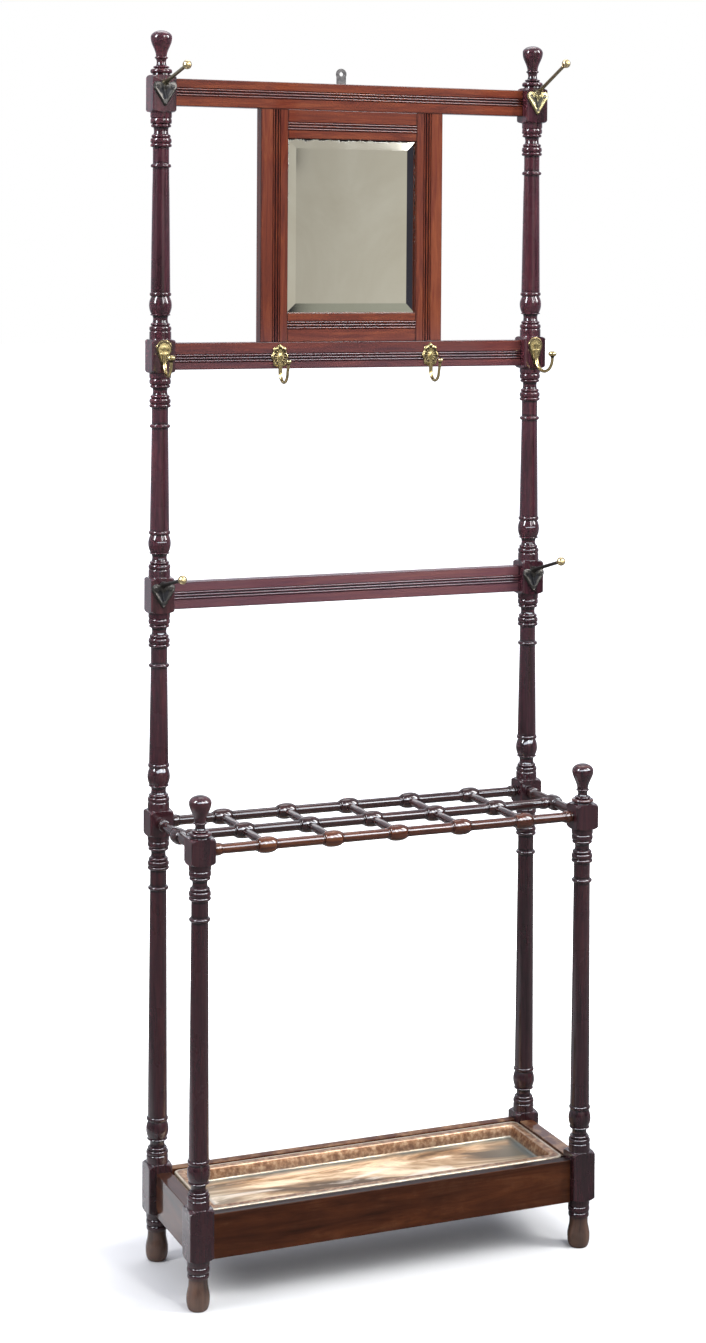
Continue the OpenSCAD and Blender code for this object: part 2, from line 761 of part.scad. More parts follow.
// Holes in the blocks for the long bars and the side bars
module grid_holes() {
    for (s = [-1, 1]) for (f = [-1, 1]) {
        translate([s * (bar_len / 2 + (bar_dowel + dowel_room) / 2 - eps), f * half_d, bar_z])
            rotate([0, 90, 0]) cylinder(r = bar_dowel_r + fit_gap / 2,
                h = bar_dowel + dowel_room + 2 * eps, center = true);
        translate([s * half_w, f * (side_len / 2 + (short_dowel + dowel_room) / 2 - eps), bar_z])
            rotate([90, 0, 0]) cylinder(r = bar_dowel_r + fit_gap / 2,
                h = short_dowel + dowel_room + 2 * eps, center = true);
    }
}

// Blind holes for the spindles in the bulbs of a bar at y, on the sides listed
module spindle_holes(y, sides) {
    for (x = bulb_at) for (s = sides)
        translate([x, y + s * (bulb_r - short_dowel / 2), bar_z]) rotate([90, 0, 0])
            cylinder(r = spindle_dowel_r + fit_gap / 2, h = short_dowel + dowel_room,
                center = true);
}

module long_bar(y, length, dowel, sides) {
    color(wood_dark) difference() {
        translate([0, y, bar_z]) rotate([0, 90, 0])
            turned(bar_outline(length, bulb_at, dowel));
        spindle_holes(y, sides);
    }
}

module grid_side(side) {
    color(wood_dark) difference() {
        translate([side * half_w, 0, bar_z]) rotate([90, 0, 0])
            turned(bar_outline(side_len, [0], short_dowel));
        translate([side * (half_w - bulb_r + short_dowel / 2), 0, bar_z]) rotate([0, 90, 0])
            cylinder(r = bar_dowel_r + fit_gap / 2, h = short_dowel + dowel_room,
                center = true);
    }
}

spindle_len = half_d - 2 * bulb_r;
spindle_shy = 0.3;
module spindle(i, f) {
    l = spindle_len - 2 * spindle_shy;
    d = short_dowel - 1;
    color(wood_dark) translate([bulb_at[i], f * half_d / 2, bar_z]) rotate([90, 0, 0])
        turned(concat([[0, -l / 2 - d], [spindle_dowel_r, -l / 2 - d], [spindle_dowel_r, -l / 2]],
            bulge(-l / 2, l / 2, spindle_r - 1.3, spindle_r),
            [[spindle_dowel_r, l / 2], [spindle_dowel_r, l / 2 + d], [0, l / 2 + d]]));
}

// ---------- base ----------

apron_top = base_z + base_h - apron_drop;
apron_z = apron_top - apron_h;
apron_y = half_d + half_b - apron_recess;    // outer faces of front and rear aprons
apron_x = half_w + half_b - apron_recess;    // outer faces of the side aprons
inner_d = 2 * (apron_y - apron_t);           // clear depth inside the aprons
inner_w = 2 * (apron_x - side_apron_t);      // clear width inside the aprons
apron_tenon_h = apron_h - 22;
apron_tenon_l = 13;
side_tenon_l = 11;

// Tenons of the front or rear apron, or with grow above 0 the mortises for them
module long_apron_tenons(f, grow) {
    for (s = [-1, 1])
        translate([s * (bar_len / 2 + (apron_tenon_l + grow * 4) / 2 - eps),
            f * (apron_y - apron_t / 2), apron_z + apron_h / 2])
            cube([apron_tenon_l + grow * 4 + 2 * eps, tenon_t + 2 * grow,
                apron_tenon_h + 2 * grow], center = true);
}

module side_apron_tenons(s, grow) {
    for (f = [-1, 1])
        translate([s * (apron_x - side_apron_t / 2),
            f * (side_len / 2 + (side_tenon_l + grow * 4) / 2 - eps), apron_z + apron_h / 2])
            cube([tenon_t + 2 * grow, side_tenon_l + grow * 4 + 2 * eps,
                apron_tenon_h + 2 * grow], center = true);
}

module apron_mortises() {
    for (f = [-1, 1]) long_apron_tenons(f, fit_gap);
    for (s = [-1, 1]) side_apron_tenons(s, fit_gap);
}

module long_apron(f) {
    color(wood_brown) difference() {
        union() {
            translate([-bar_len / 2, f * (apron_y - apron_t / 2) - apron_t / 2, apron_z])
                cube([bar_len, apron_t, apron_h]);
            long_apron_tenons(f, 0);
        }
        bearer_screw_spaces();
    }
}

module side_apron(s) {
    color(wood_brown) difference() {
        union() {
            translate([s * (apron_x - side_apron_t / 2) - side_apron_t / 2, -side_len / 2,
                apron_z])
                cube([side_apron_t, side_len, apron_h]);
            side_apron_tenons(s, 0);
        }
        bearer_screw_spaces();
    }
}

// Wooden strips screwed inside the aprons, which carry the tray's rolled edge
bearer_top = apron_top - 2 * roll_r - rest_gap - 0.4;
bearer_d = tray_gap_d + 8;                   // width of the front and rear strips
post_gap = 2;                                // least room between the tray and the blocks
bearer_w = max(tray_gap_w, (inner_w - bar_len) / 2 + post_gap) + 8;  // side strips
side_bearer_len = side_len - 8;
long_bearer_len = bar_len - 8;
bearer_screw_l = 20;
module at_bearer_screws() {
    for (f = [-1, 1]) for (x = [-0.38, 0, 0.38])
        translate([x * long_bearer_len, f * (inner_d / 2 - bearer_d),
            bearer_top - bearer_h / 2])
            rotate([f * 90, 0, 0]) children();
    for (s = [-1, 1]) for (y = [-0.3, 0.3])
        translate([s * (inner_w / 2 - bearer_w), y * side_bearer_len,
            bearer_top - bearer_h / 2])
            rotate([0, -s * 90, 0]) children();
}

module bearer_screw_spaces() {
    at_bearer_screws() screw_space(bearer_screw_l);
}

module long_bearer(f) {
    color([0.45, 0.33, 0.22]) difference() {
        translate([-long_bearer_len / 2, f * (inner_d - bearer_d) / 2 - bearer_d / 2,
            bearer_top - bearer_h])
            cube([long_bearer_len, bearer_d, bearer_h]);
        bearer_screw_spaces();
        corner_room();
    }
}

module side_bearer(s) {
    color([0.45, 0.33, 0.22]) difference() {
        translate([s * (inner_w - bearer_w) / 2 - bearer_w / 2, -side_bearer_len / 2,
            bearer_top - bearer_h])
            cube([bearer_w, side_bearer_len, bearer_h]);
        bearer_screw_spaces();
    }
}

// Where the long strips stop short of the side strips
module corner_room() {
    for (s = [-1, 1])
        translate([s * (inner_w / 2), 0, bearer_top - bearer_h / 2])
            cube([2 * bearer_w + 1, span_d, 2 * bearer_h], center = true);
}

module bearer_screws() {
    color(iron) at_bearer_screws() screw(bearer_screw_l);
}

// ---------- drip tray ----------

tray_w = min(inner_w - 2 * tray_gap_w, bar_len - 2 * post_gap);
tray_d = inner_d - 2 * tray_gap_d;
tray_top = bearer_top + rest_gap + 2 * roll_r;
tray_floor = tray_top - tray_depth;
tray_corner = 9;

// A pan-shaped solid w by d at the top, sloping in on all sides down to z0
module pan(w, d, z0, z1, slope) {
    intersection() {
        translate([0, d / 2, 0]) rotate([90, 0, 0]) linear_extrude(d)
            polygon([[-w / 2, z1], [w / 2, z1], [w / 2 - slope, z0], [slope - w / 2, z0]]);
        translate([-w / 2, 0, 0]) rotate([90, 0, 90]) linear_extrude(w)
            polygon([[-d / 2, z1], [d / 2, z1], [d / 2 - slope, z0], [slope - d / 2, z0]]);
    }
}

module rounded_rectangle(w, d, r) {
    square([w - 2 * r, d], center = true);
    square([w, d - 2 * r], center = true);
    for (x = [-1, 1]) for (y = [-1, 1]) translate([x * (w / 2 - r), y * (d / 2 - r)]) circle(r = r);
}

// The wire-rolled edge: four straight rolls and four quarter rings
module rolled_edge() {
    w = tray_w / 2 - roll_r;
    d = tray_d / 2 - roll_r;
    r = tray_corner - roll_r;
    translate([0, 0, tray_top - roll_r]) {
        for (s = [-1, 1]) {
            translate([0, s * d, 0]) rotate([0, 90, 0])
                cylinder(r = roll_r, h = 2 * (w - r), center = true, $fn = 24);
            translate([s * w, 0, 0]) rotate([90, 0, 0])
                cylinder(r = roll_r, h = 2 * (d - r), center = true, $fn = 24);
        }
        for (q = [[1, 1, 0], [-1, 1, 90], [-1, -1, 180], [1, -1, 270]])
            translate([q[0] * (w - r), q[1] * (d - r), 0]) rotate([0, 0, q[2]])
                rotate_extrude(angle = 90) translate([r, 0]) circle(r = roll_r, $fn = 24);
    }
}

module drip_tray() {
    pan_w = tray_w - 2 * tray_flange;
    pan_d = tray_d - 2 * tray_flange;
    color(copper) union() {
        difference() {
            union() {
                translate([0, 0, tray_top - tray_t]) linear_extrude(tray_t)
                    rounded_rectangle(tray_w - 2 * roll_r, tray_d - 2 * roll_r,
                        tray_corner - roll_r);
                pan(pan_w + 2 * tray_t, pan_d + 2 * tray_t, tray_floor - tray_t,
                    tray_top - tray_t / 2, tray_slope);
            }
            pan(pan_w + tray_slope / tray_depth * 2, pan_d + tray_slope / tray_depth * 2,
                tray_floor, tray_top + 1, tray_slope * (tray_depth + 1) / tray_depth);
        }
        rolled_edge();
    }
}

// ---------- the nodes ----------

rear_post(-1);  // rear_post_left
rear_post(1);  // rear_post_right
front_post(-1);  // front_post_left
front_post(1);  // front_post_right
finial(-1, half_d, rear_top, rear_finial_h);  // rear_finial_left
finial(1, half_d, rear_top, rear_finial_h);  // rear_finial_right
finial(-1, -half_d, front_top, front_finial_h);  // front_finial_left
finial(1, -half_d, front_top, front_finial_h);  // front_finial_right
top_rail();
hook_rail();
lower_rail();
mirror_stile(-1);  // mirror_stile_left
mirror_stile(1);  // mirror_stile_right
mirror_frame_top();
mirror_frame_bottom();
mirror_glass();
mirror_back_board();
back_board_brads();
hanger_plate();
hanger_screws();
hat_peg(PEGS[0]);  // hat_peg_top_left
hat_peg(PEGS[1]);  // hat_peg_top_right
hat_peg(PEGS[2]);  // hat_peg_low_left
hat_peg(PEGS[3]);  // hat_peg_low_right
peg_ball(PEGS[0]);  // peg_ball_top_left
peg_ball(PEGS[1]);  // peg_ball_top_right
peg_ball(PEGS[2]);  // peg_ball_low_left
peg_ball(PEGS[3]);  // peg_ball_low_right
hat_peg_screws();
block_hook(BLOCK_HOOKS[0]);  // block_hook_left
block_hook(BLOCK_HOOKS[1]);  // block_hook_right
rail_hook(RAIL_HOOKS[0]);  // rail_hook_left
rail_hook(RAIL_HOOKS[1]);  // rail_hook_right
coat_hook_screws();
long_bar(half_d, bar_len, bar_dowel, [-1]);  // grid_bar_back
long_bar(0, middle_len, short_dowel - 1, [-1, 1]);  // grid_bar_middle
long_bar(-half_d, bar_len, bar_dowel, [1]);  // grid_bar_front
grid_side(-1);  // grid_side_left
grid_side(1);  // grid_side_right
spindle(0, 1);  // spindle_back_1
spindle(1, 1);  // spindle_back_2
spindle(2, 1);  // spindle_back_3
spindle(3, 1);  // spindle_back_4
spindle(4, 1);  // spindle_back_5
spindle(0, -1);  // spindle_front_1
spindle(1, -1);  // spindle_front_2
spindle(2, -1);  // spindle_front_3
spindle(3, -1);  // spindle_front_4
spindle(4, -1);  // spindle_front_5
long_apron(-1);  // apron_front
long_apron(1);  // apron_rear
side_apron(-1);  // apron_left
side_apron(1);  // apron_right
long_bearer(-1);  // bearer_front
long_bearer(1);  // bearer_rear
side_bearer(-1);  // bearer_left
side_bearer(1);  // bearer_right
bearer_screws();
drip_tray();
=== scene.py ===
"""Hall tree with hooks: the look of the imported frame, in metres, +Z up, front at -Y."""
import json
from math import atan2, cos, exp, hypot, pi, radians, sin, sqrt

import bmesh
import bpy
from mathutils import Matrix, Vector

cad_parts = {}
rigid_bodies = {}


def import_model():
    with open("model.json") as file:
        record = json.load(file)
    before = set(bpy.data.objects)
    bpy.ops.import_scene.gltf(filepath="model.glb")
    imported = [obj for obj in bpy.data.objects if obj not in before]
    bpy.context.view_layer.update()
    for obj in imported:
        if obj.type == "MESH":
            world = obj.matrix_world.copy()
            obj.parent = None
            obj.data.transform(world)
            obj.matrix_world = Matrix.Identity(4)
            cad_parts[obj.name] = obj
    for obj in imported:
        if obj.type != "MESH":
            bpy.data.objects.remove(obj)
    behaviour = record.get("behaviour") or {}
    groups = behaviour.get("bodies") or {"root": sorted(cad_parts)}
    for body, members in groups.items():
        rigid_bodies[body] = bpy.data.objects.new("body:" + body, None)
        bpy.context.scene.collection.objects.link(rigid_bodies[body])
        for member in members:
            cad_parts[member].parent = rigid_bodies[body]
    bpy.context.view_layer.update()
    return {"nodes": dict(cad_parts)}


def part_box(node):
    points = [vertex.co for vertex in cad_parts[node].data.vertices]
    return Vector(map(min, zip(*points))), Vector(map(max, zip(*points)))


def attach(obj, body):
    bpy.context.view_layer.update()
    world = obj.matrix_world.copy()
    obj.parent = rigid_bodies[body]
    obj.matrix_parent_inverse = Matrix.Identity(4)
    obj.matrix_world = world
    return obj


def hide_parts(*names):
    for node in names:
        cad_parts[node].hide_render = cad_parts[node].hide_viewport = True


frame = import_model()
scene = bpy.context.scene
MM = 0.001

# ---------- sizes, in millimetres ----------


def box_mm(node):
    low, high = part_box(node)
    return low / MM, high / MM


def centre_mm(node):
    low, high = box_mm(node)
    return (low + high) / 2


POST_X = centre_mm("rear_finial_right").x
POST_Y = centre_mm("rear_finial_right").y
FRONT_Y = centre_mm("front_finial_right").y
BLOCK = 41.0
BLOCKS = ((82, 165), (717, 760), (1090, 1149), (1489, 1545), (1920, 1981))
BLOCK_FRONT = POST_Y - BLOCK / 2
COLLAR, NECK, BALL = 18.2, 12.2, 18.9
SHAFT_TOP, SHAFT_LOW = 13.9, 16.3
SIDES = (("left", -1), ("right", 1))
STEPS = 8
WELD = 0.002


# ---------- meshes ----------


def unit(value):
    """The value kept between 0 and 1."""
    return max(0.0, min(1.0, value))


def add(name, verts, faces, material, slot, body="root", stands_for=(), sharp=38, marks=None,
        weighted=False):
    """A closed mesh from millimetre points. marks maps an attribute's name to one value per
    point; stands_for lists the CAD nodes that the piece replaces."""
    mesh = bpy.data.meshes.new(name)
    mesh.from_pydata([(x * MM, y * MM, z * MM) for x, y, z in verts], [], faces)
    for key, values in (marks or {}).items():
        mesh.attributes.new(key, "FLOAT", "POINT").data.foreach_set("value", values)
    work = bmesh.new()
    work.from_mesh(mesh)
    bmesh.ops.remove_doubles(work, verts=work.verts, dist=WELD * MM)
    bmesh.ops.dissolve_degenerate(work, edges=work.edges, dist=WELD * MM / 4)
    bmesh.ops.recalc_face_normals(work, faces=work.faces)
    work.to_mesh(mesh)
    work.free()
    mesh.shade_smooth()
    mesh.set_sharp_from_angle(angle=radians(sharp))
    mesh.materials.append(material)
    piece = bpy.data.objects.new(name, mesh)
    scene.collection.objects.link(piece)
    if weighted:
        piece.modifiers.new("even_shading", "WEIGHTED_NORMAL").keep_sharp = True
    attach(piece, body)
    if stands_for:
        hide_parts(*stands_for)
    return piece


def grid_faces(rows, columns):
    """Quads between rows of points, with each row's end joined to its start."""
    faces = []
    for i in range(rows - 1):
        for j in range(columns):
            a, b = i * columns + j, i * columns + (j + 1) % columns
            faces.append((a, b, b + columns, a + columns))
    return faces


def skin(rows):
    """Points and faces of a tube through rows of points, with a flat cap on each end."""
    columns = len(rows[0])
    faces = grid_faces(len(rows), columns)
    faces.append(tuple(range(columns))[::-1])
    last = (len(rows) - 1) * columns
    faces.append(tuple(range(last, last + columns)))
    return [p for row in rows for p in row], faces


def bead(z0, z1, r0, r1, steps=STEPS):
    return [(r0 + (r1 - r0) * sin(pi * i / steps),
             (z0 + z1) / 2 - (z1 - z0) / 2 * cos(pi * i / steps))
            for i in range(steps + 1)]


def bulge(z0, z1, r0, r1, steps=STEPS):
    return [(r1 - (r1 - r0) * (2 * i / steps - 1) ** 2, z0 + (z1 - z0) * i / steps)
            for i in range(steps + 1)]


def ogee(z0, z1, r0, r1, steps=STEPS):
    return [(r0 + (r1 - r0) * (1 - cos(pi * i / steps)) / 2, z0 + (z1 - z0) * i / steps)
            for i in range(steps + 1)]


def quarter(z0, z1, r0, r1, steps=STEPS):
    return [(r0 + (r1 - r0) * sin(pi / 2 * i / steps),
             z0 + (z1 - z0) * (1 - cos(pi / 2 * i / steps)))
            for i in range(steps + 1)]


def arc(cx, cz, radius, start, end, steps=10):
    """Points round a centre from start to end degrees."""
    return [(cx + radius * cos(radians(start + (end - start) * i / steps)),
             cz + radius * sin(radians(start + (end - start) * i / steps)))
            for i in range(steps + 1)]


def filled(outline, apart=4.5):
    """The outline with rows added near both ends of every long straight run."""
    out = [outline[0]]
    for (r0, z0), (r1, z1) in zip(outline, outline[1:]):
        run = z1 - z0
        if run > 2.5 * apart:
            for part in (apart / run, 2 * apart / run, 0.5, 1 - 2 * apart / run, 1 - apart / run):
                out.append((r0 + (r1 - r0) * part, z0 + run * part))
        out.append((r1, z1))
    return out


def hollows(outline, reach=4.0):
    """For each (r, z): how deep it lies in a groove and how far it stands proud, both 0 to 1."""
    low, high = [], []
    for r, z in outline:
        near = [q for q, w in outline if abs(w - z) <= reach]
        lift = r - (max(near) + min(near)) / 2
        # the groove depth becomes painted shade on wood and patina on brass
        low.append(unit(-lift / 2.0))
        high.append(unit(lift / 3.5))
    return low, high


AXES = {"X": lambda r, s, h: (h, r, s), "Y": lambda r, s, h: (s, h, r),
        "Z": lambda r, s, h: (r, s, h)}


def lathe(name, outline, at, axis, material, slot, stands_for=(), columns=56, tilt=None):
    """A turned piece: outline is (radius, height) going along axis, at is its origin."""
    outline = filled(outline)
    low, high = hollows(outline)
    rows, dirt, wear = [], [], []
    for (r, h), d, w in zip(outline, low, high):
        row = []
        for j in range(columns):
            a = 2 * pi * j / columns
            p = Vector(AXES[axis](r * cos(a), r * sin(a), h))
            if tilt:
                p = tilt @ p
            row.append(tuple(p + Vector(at)))
        rows.append(row)
        dirt += [d] * columns
        wear += [w] * columns
    verts, faces = skin(rows)
    return add(name, verts, faces, material, slot, stands_for=stands_for,
               marks={"dirt": dirt, "wear": wear})


def prism(name, section, span, axis, material, slot, stands_for, marks):
    """A straight bar, grimy at both ends: section is (u, v) points, span its two ends along
    axis. On X the section is (y, z), on Y (x, z) and on Z (x, y)."""
    place = {"X": lambda u, v, h: (h, u, v), "Y": lambda u, v, h: (u, h, v),
             "Z": lambda u, v, h: (u, v, h)}[axis]
    start, end = span
    places = ((start, 1.0), (start + 0.7, 0.6), (start + 2, 0.0),
              (end - 2, 0.0), (end - 0.7, 0.6), (end, 1.0))
    verts, faces = skin([[place(u, v, h) for u, v in section] for h, grime in places])
    every = {key: list(values) * len(places) for key, values in marks.items()}
    every["dirt"] = [max(d, grime) for h, grime in places for d in marks["dirt"]]
    return add(name, verts, faces, material, slot, stands_for=stands_for, marks=every,
               weighted=True)


def rounded_box_section(low, high, radius, steps=4):
    """A rectangle with rounded corners, and how worn each of its points is."""
    points, wear = [], []
    corners = ((high[0] - radius, high[1] - radius, 0), (low[0] + radius, high[1] - radius, 90),
               (low[0] + radius, low[1] + radius, 180), (high[0] - radius, low[1] + radius, 270))
    for cu, cv, start in corners:
        points += arc(cu, cv, radius, start, start + 90, steps)
        wear += [0.55] + [1.0] * (steps - 1) + [0.55]
    return points, wear


# ---------- materials ----------


class Shader:
    """Short hand for a node tree: call it with a node kind and that node's inputs."""

    def __init__(self, name):
        self.material = bpy.data.materials.new(name)
        self.material.use_nodes = True
        self.tree = self.material.node_tree
        self.tree.nodes.clear()

    def put(self, socket, value):
        if isinstance(value, bpy.types.NodeSocket):
            self.tree.links.new(value, socket)
        else:
            socket.default_value = value

    def __call__(self, kind, inputs=None, **settings):
        node = self.tree.nodes.new("ShaderNode" + kind)
        for key, value in settings.items():
            setattr(node, key, value)
        for key, value in (inputs or {}).items():
            self.put(node.inputs[key], value)
        return node

    def math(self, operation, a, b=0.0):
        return self("Math", {0: a, 1: b}, operation=operation).outputs[0]

    def plus(self, a, b):
        return self.math("ADD", a, b)

    def times(self, a, b):
        return self.math("MULTIPLY", a, b)

    def mix(self, factor, a, b):
        return self("Mix", {0: factor, 6: a, 7: b}, data_type="RGBA").outputs[2]

    def noise(self, vector, scale, detail=4.0, rough=0.55, warp=0.0):
        node = self("TexNoise", {"Vector": vector, "Scale": scale, "Detail": detail,
                                 "Roughness": rough, "Distortion": warp})
        return node.outputs[0]

    def step(self, value, low, high, to_low=0.0, to_high=1.0):
        """Smooth step of value from low to high."""
        node = self("MapRange", {0: value, 1: low, 2: high, 3: to_low, 4: to_high},
                    interpolation_type="SMOOTHSTEP")
        return node.outputs[0]

    def ramp(self, factor, *stops):
        node = self("ValToRGB", {0: factor})
        marks = node.color_ramp.elements
        while len(marks) < len(stops):
            marks.new(0.5)
        for mark, (place, colour) in zip(marks, stops):
            mark.position, mark.color = place, (*colour, 1)
        return node.outputs[0]

    def attribute(self, name):
        return self("Attribute", attribute_name=name).outputs["Fac"]

    def place(self, stretch=(1, 1, 1), shuffle=True):
        """Object coordinates in metres, stretched, each piece with its own part of the pattern."""
        vector = self("TexCoord").outputs["Object"]
        if shuffle:
            chance = self("ObjectInfo").outputs["Random"]
            moved = self("CombineXYZ", {0: self.times(chance, 3.1),
                                        1: self.times(chance, 1.7),
                                        2: self.times(chance, 2.3)}).outputs[0]
            vector = self("VectorMath", {0: vector, 1: moved}, operation="ADD").outputs[0]
        return self("Mapping", {0: vector, 3: stretch}).outputs[0]

    def finish(self, colour, roughness, bumps=(), **constants):
        """bumps is a list of (height, strength, distance in metres)."""
        body = self("BsdfPrincipled", {"Base Color": colour, "Roughness": roughness})
        for key, value in constants.items():
            body.inputs[key.replace("_", " ")].default_value = value
        normal = None
        for height, strength, distance in bumps:
            node = self("Bump", {"Height": height, "Strength": strength, "Distance": distance})
            if normal:
                self.put(node.inputs["Normal"], normal)
            normal = node.outputs[0]
        if normal:
            self.put(body.inputs["Normal"], normal)
        out = self("OutputMaterial")
        self.put(out.inputs[0], body.outputs[0])
        return self.material


def along(axis, across, length):
    """Pattern stretch that is fine across the grain and slow along it."""
    return tuple(length if name == axis else across for name in "XYZ")


def wood(name, axis, tones, gloss, coat, worn_and_glare, worn_and_glare_amount=1.0, matte_foot=False, blotch=0.09,
         figured=95, gleam=0.07, painted_sheen=0.0):
    """Polished mahogany. tones runs dark to light, axis is the grain's, gloss is roughness and
    its worn colour is bare wood, also laid on as a painted pale highlight. blotch and figured
    set the figure's stretch and pitch, gleam the wood's shine under its coat and the painted
    sheen how much painted lilac reflection lies on it below 1.6 m."""
    s = Shader(name)
    slow = s.place(along(axis, 1.0, 0.09))
    fine = s.place(along(axis, 1.0, 0.025))
    plain = s.place()
    cloud = s.noise(s.place(along(axis, 1.0, blotch)), 14, 4, 0.6, 0.8)
    figure = s.noise(s.place(along(axis, 1.0, blotch * 0.8)), figured, 5, 0.6, 1.5)
    fibre = s.noise(fine, 1100, 3, 0.65)
    patch = s.noise(plain, 9, 5, 0.6, 0.4)
    tone = s.plus(s.times(cloud, 0.5), s.times(figure, 0.5))
    colour = s.ramp(tone, (0.34, tones[0]), (0.5, tones[1]), (0.68, tones[2]))
    colour = s.mix(s.step(fibre, 0.42, 0.62, 0.2, 0.0), colour, (*tones[0], 1))
    pores = s.step(s.noise(fine, 2300, 2, 0.5), 0.62, 0.7)
    colour = s.mix(s.times(pores, 0.35), colour, (0.008, 0.004, 0.003, 1))
    high = s("SeparateXYZ", {0: s("TexCoord").outputs["Object"]}).outputs[2]
    # painted shade: the wood darkens towards the bottom, most below 0.5 m and not at all above 1.4
    # m
    colour = s.mix(s.step(high, 0.5, 1.4, 0.6, 0.0), colour, (*tones[0], 1))
    # painted reflection: a lilac sheen mixed into the wood below 1.6 m
    if painted_sheen:
        colour = s.mix(s.step(high, 1.42, 1.6, painted_sheen, 0.0), colour, (0.16, 0.1, 0.14, 1))
    # painted shade: nearly black in turned grooves, between the reeds and on the front apron's
    # top; at the bars' ends it is grime
    dirt = s.times(s.attribute("dirt"), s.step(patch, 0.25, 0.6, 0.75, 1.0))
    colour = s.mix(s.times(dirt, 0.92), colour, (0.004, 0.003, 0.004, 1))
    # rubbed bare wood; on the rear and right apron tops it is a painted highlight, a pale glare
    rub_and_glare = s.plus(s.attribute("wear"), s.times(figure, 0.5))
    rub_and_glare = s.times(s.step(rub_and_glare, 0.75, 1.35),
                  s.step(s.noise(plain, 26, 4, 0.7), 0.4, 0.66, 0.0, worn_and_glare_amount))
    colour = s.mix(rub_and_glare, colour, (*worn_and_glare, 1))
    rough = s.step(patch, 0.3, 0.75, gloss, gloss + 0.14)
    rough = s.plus(rough, s.times(rub_and_glare, 0.25))
    if matte_foot:
        foot = s.attribute("foot")
        bare = s.ramp(s.noise(slow, 40, 5, 0.6, 0.6), (0.35, (0.026, 0.014, 0.01)),
                      (0.62, (0.1, 0.05, 0.032)))
        low = s.step(high, 0.008, 0.04, 0.4, 0.0)
        bare = s.mix(low, bare, (0.17, 0.1, 0.07, 1))
        colour = s.mix(foot, colour, bare)
        rough = s.plus(rough, s.times(foot, 0.45))
    dents = s.noise(plain, 60, 3, 0.5)
    return s.finish(colour, rough, ((dents, 0.05, 0.0005), (fibre, 0.02, 0.0001)),
                    Coat_Weight=coat, Coat_Roughness=0.035, Specular_IOR_Level=gleam)


DARK = ((0.011, 0.005, 0.006), (0.058, 0.015, 0.023), (0.12, 0.03, 0.035))
RED = ((0.052, 0.01, 0.009), (0.15, 0.03, 0.014), (0.28, 0.072, 0.026))
BROWN = ((0.024, 0.008, 0.004), (0.13, 0.035, 0.012), (0.3, 0.09, 0.028))
post_wood = wood("mahogany_posts", "Z", DARK, 0.22, 1.0, (0.16, 0.06, 0.035), 0.35, True)
bar_wood = {a: wood("mahogany_sticks_" + a.lower(), a,
                    ((0.014, 0.006, 0.006), (0.045, 0.014, 0.013), (0.1, 0.03, 0.022)),
                    0.22, 1.0, (0.2, 0.07, 0.035), 0.5) for a in "XY"}
front_bar_wood = wood("mahogany_front_stick", "X",
                      ((0.035, 0.009, 0.005), (0.13, 0.034, 0.012), (0.36, 0.12, 0.035)),
                      0.2, 1.0, (0.4, 0.15, 0.05), 0.8)
rail_wood = {a: wood("mahogany_rails_" + a.lower(), a, RED, 0.28, 0.7, (0.3, 0.13, 0.07), 0.4,
                     gleam=0.02, painted_sheen=0.45) for a in "XZ"}
base_wood = {a: wood("mahogany_base_" + a.lower(), a, BROWN, 0.28, coat, (0.3, 0.17, 0.09), 0.8,
                     blotch=0.16, figured=30, gleam=0.06) for a, coat in (("X", 0.2), ("Y", 1.0))}


def raw_wood(name, axis, dark, light):
    s = Shader(name)
    slow = s.place(along(axis, 1.0, 0.08))
    streak = s.noise(slow, 120, 5, 0.65, 1.0)
    stain = s.noise(s.place(), 12, 5, 0.6, 0.5)
    colour = s.ramp(streak, (0.36, dark), (0.64, light))
    colour = s.mix(s.step(stain, 0.35, 0.7, 0.55, 0.0), colour, (0.03, 0.022, 0.016, 1))
    return s.finish(colour, s.step(stain, 0.3, 0.7, 0.62, 0.85), ((streak, 0.35, 0.0004),))


board_wood = raw_wood("old_pine_board", "Z", (0.12, 0.07, 0.038), (0.27, 0.175, 0.1))
bearer_wood = raw_wood("sawn_strip", "X", (0.11, 0.068, 0.04), (0.24, 0.16, 0.1))


def metal(name, bright, dull, rough, spots, relief=0.2, shade_in_hollows=0.9):
    """Old metal: bright where it is rubbed, dull in its hollows; spots is the pattern's pitch
    per metre."""
    s = Shader(name)
    plain = s.place()
    patina = s.noise(plain, spots, 5, 0.62, 0.4)
    grain = s.noise(plain, spots * 9, 3, 0.6)
    rub_and_glare = s.plus(patina, s.times(s.attribute("wear"), 0.45))
    rub_and_glare = s.math("SUBTRACT", rub_and_glare, s.times(s.attribute("dirt"), shade_in_hollows))
    rub_and_glare = s.step(rub_and_glare, 0.3, 0.72)
    colour = s.mix(rub_and_glare, (*dull, 1), (*bright, 1))
    colour = s.mix(s.step(grain, 0.35, 0.7, 0.25, 0.0), colour, (*[c * 0.5 for c in dull], 1))
    roughness = s.step(rub_and_glare, 0.0, 1.0, rough + 0.28, rough)
    return s.finish(colour, roughness, ((patina, relief, 0.0004), (grain, relief, 0.0001)),
                    Metallic=1.0)


ball_brass = metal("polished_brass", (0.72, 0.58, 0.33), (0.4, 0.29, 0.14), 0.18, 90, 0.06)
hook_brass = metal("old_brass", (0.6, 0.47, 0.22), (0.04, 0.029, 0.016), 0.22, 150, 0.2, 1.5)
dark_iron = metal("dark_cast_iron", (0.075, 0.068, 0.06), (0.025, 0.024, 0.025), 0.4, 130, 0.3)
brassy_iron = metal("rubbed_cast_iron", (0.42, 0.35, 0.17), (0.04, 0.036, 0.028), 0.34, 130,
                    0.35)
rubbed_rod = metal("rubbed_rod", (0.4, 0.35, 0.22), (0.09, 0.08, 0.055), 0.3, 90, 0.1)
steel = metal("dull_steel", (0.085, 0.078, 0.075), (0.04, 0.037, 0.036), 0.36, 110)


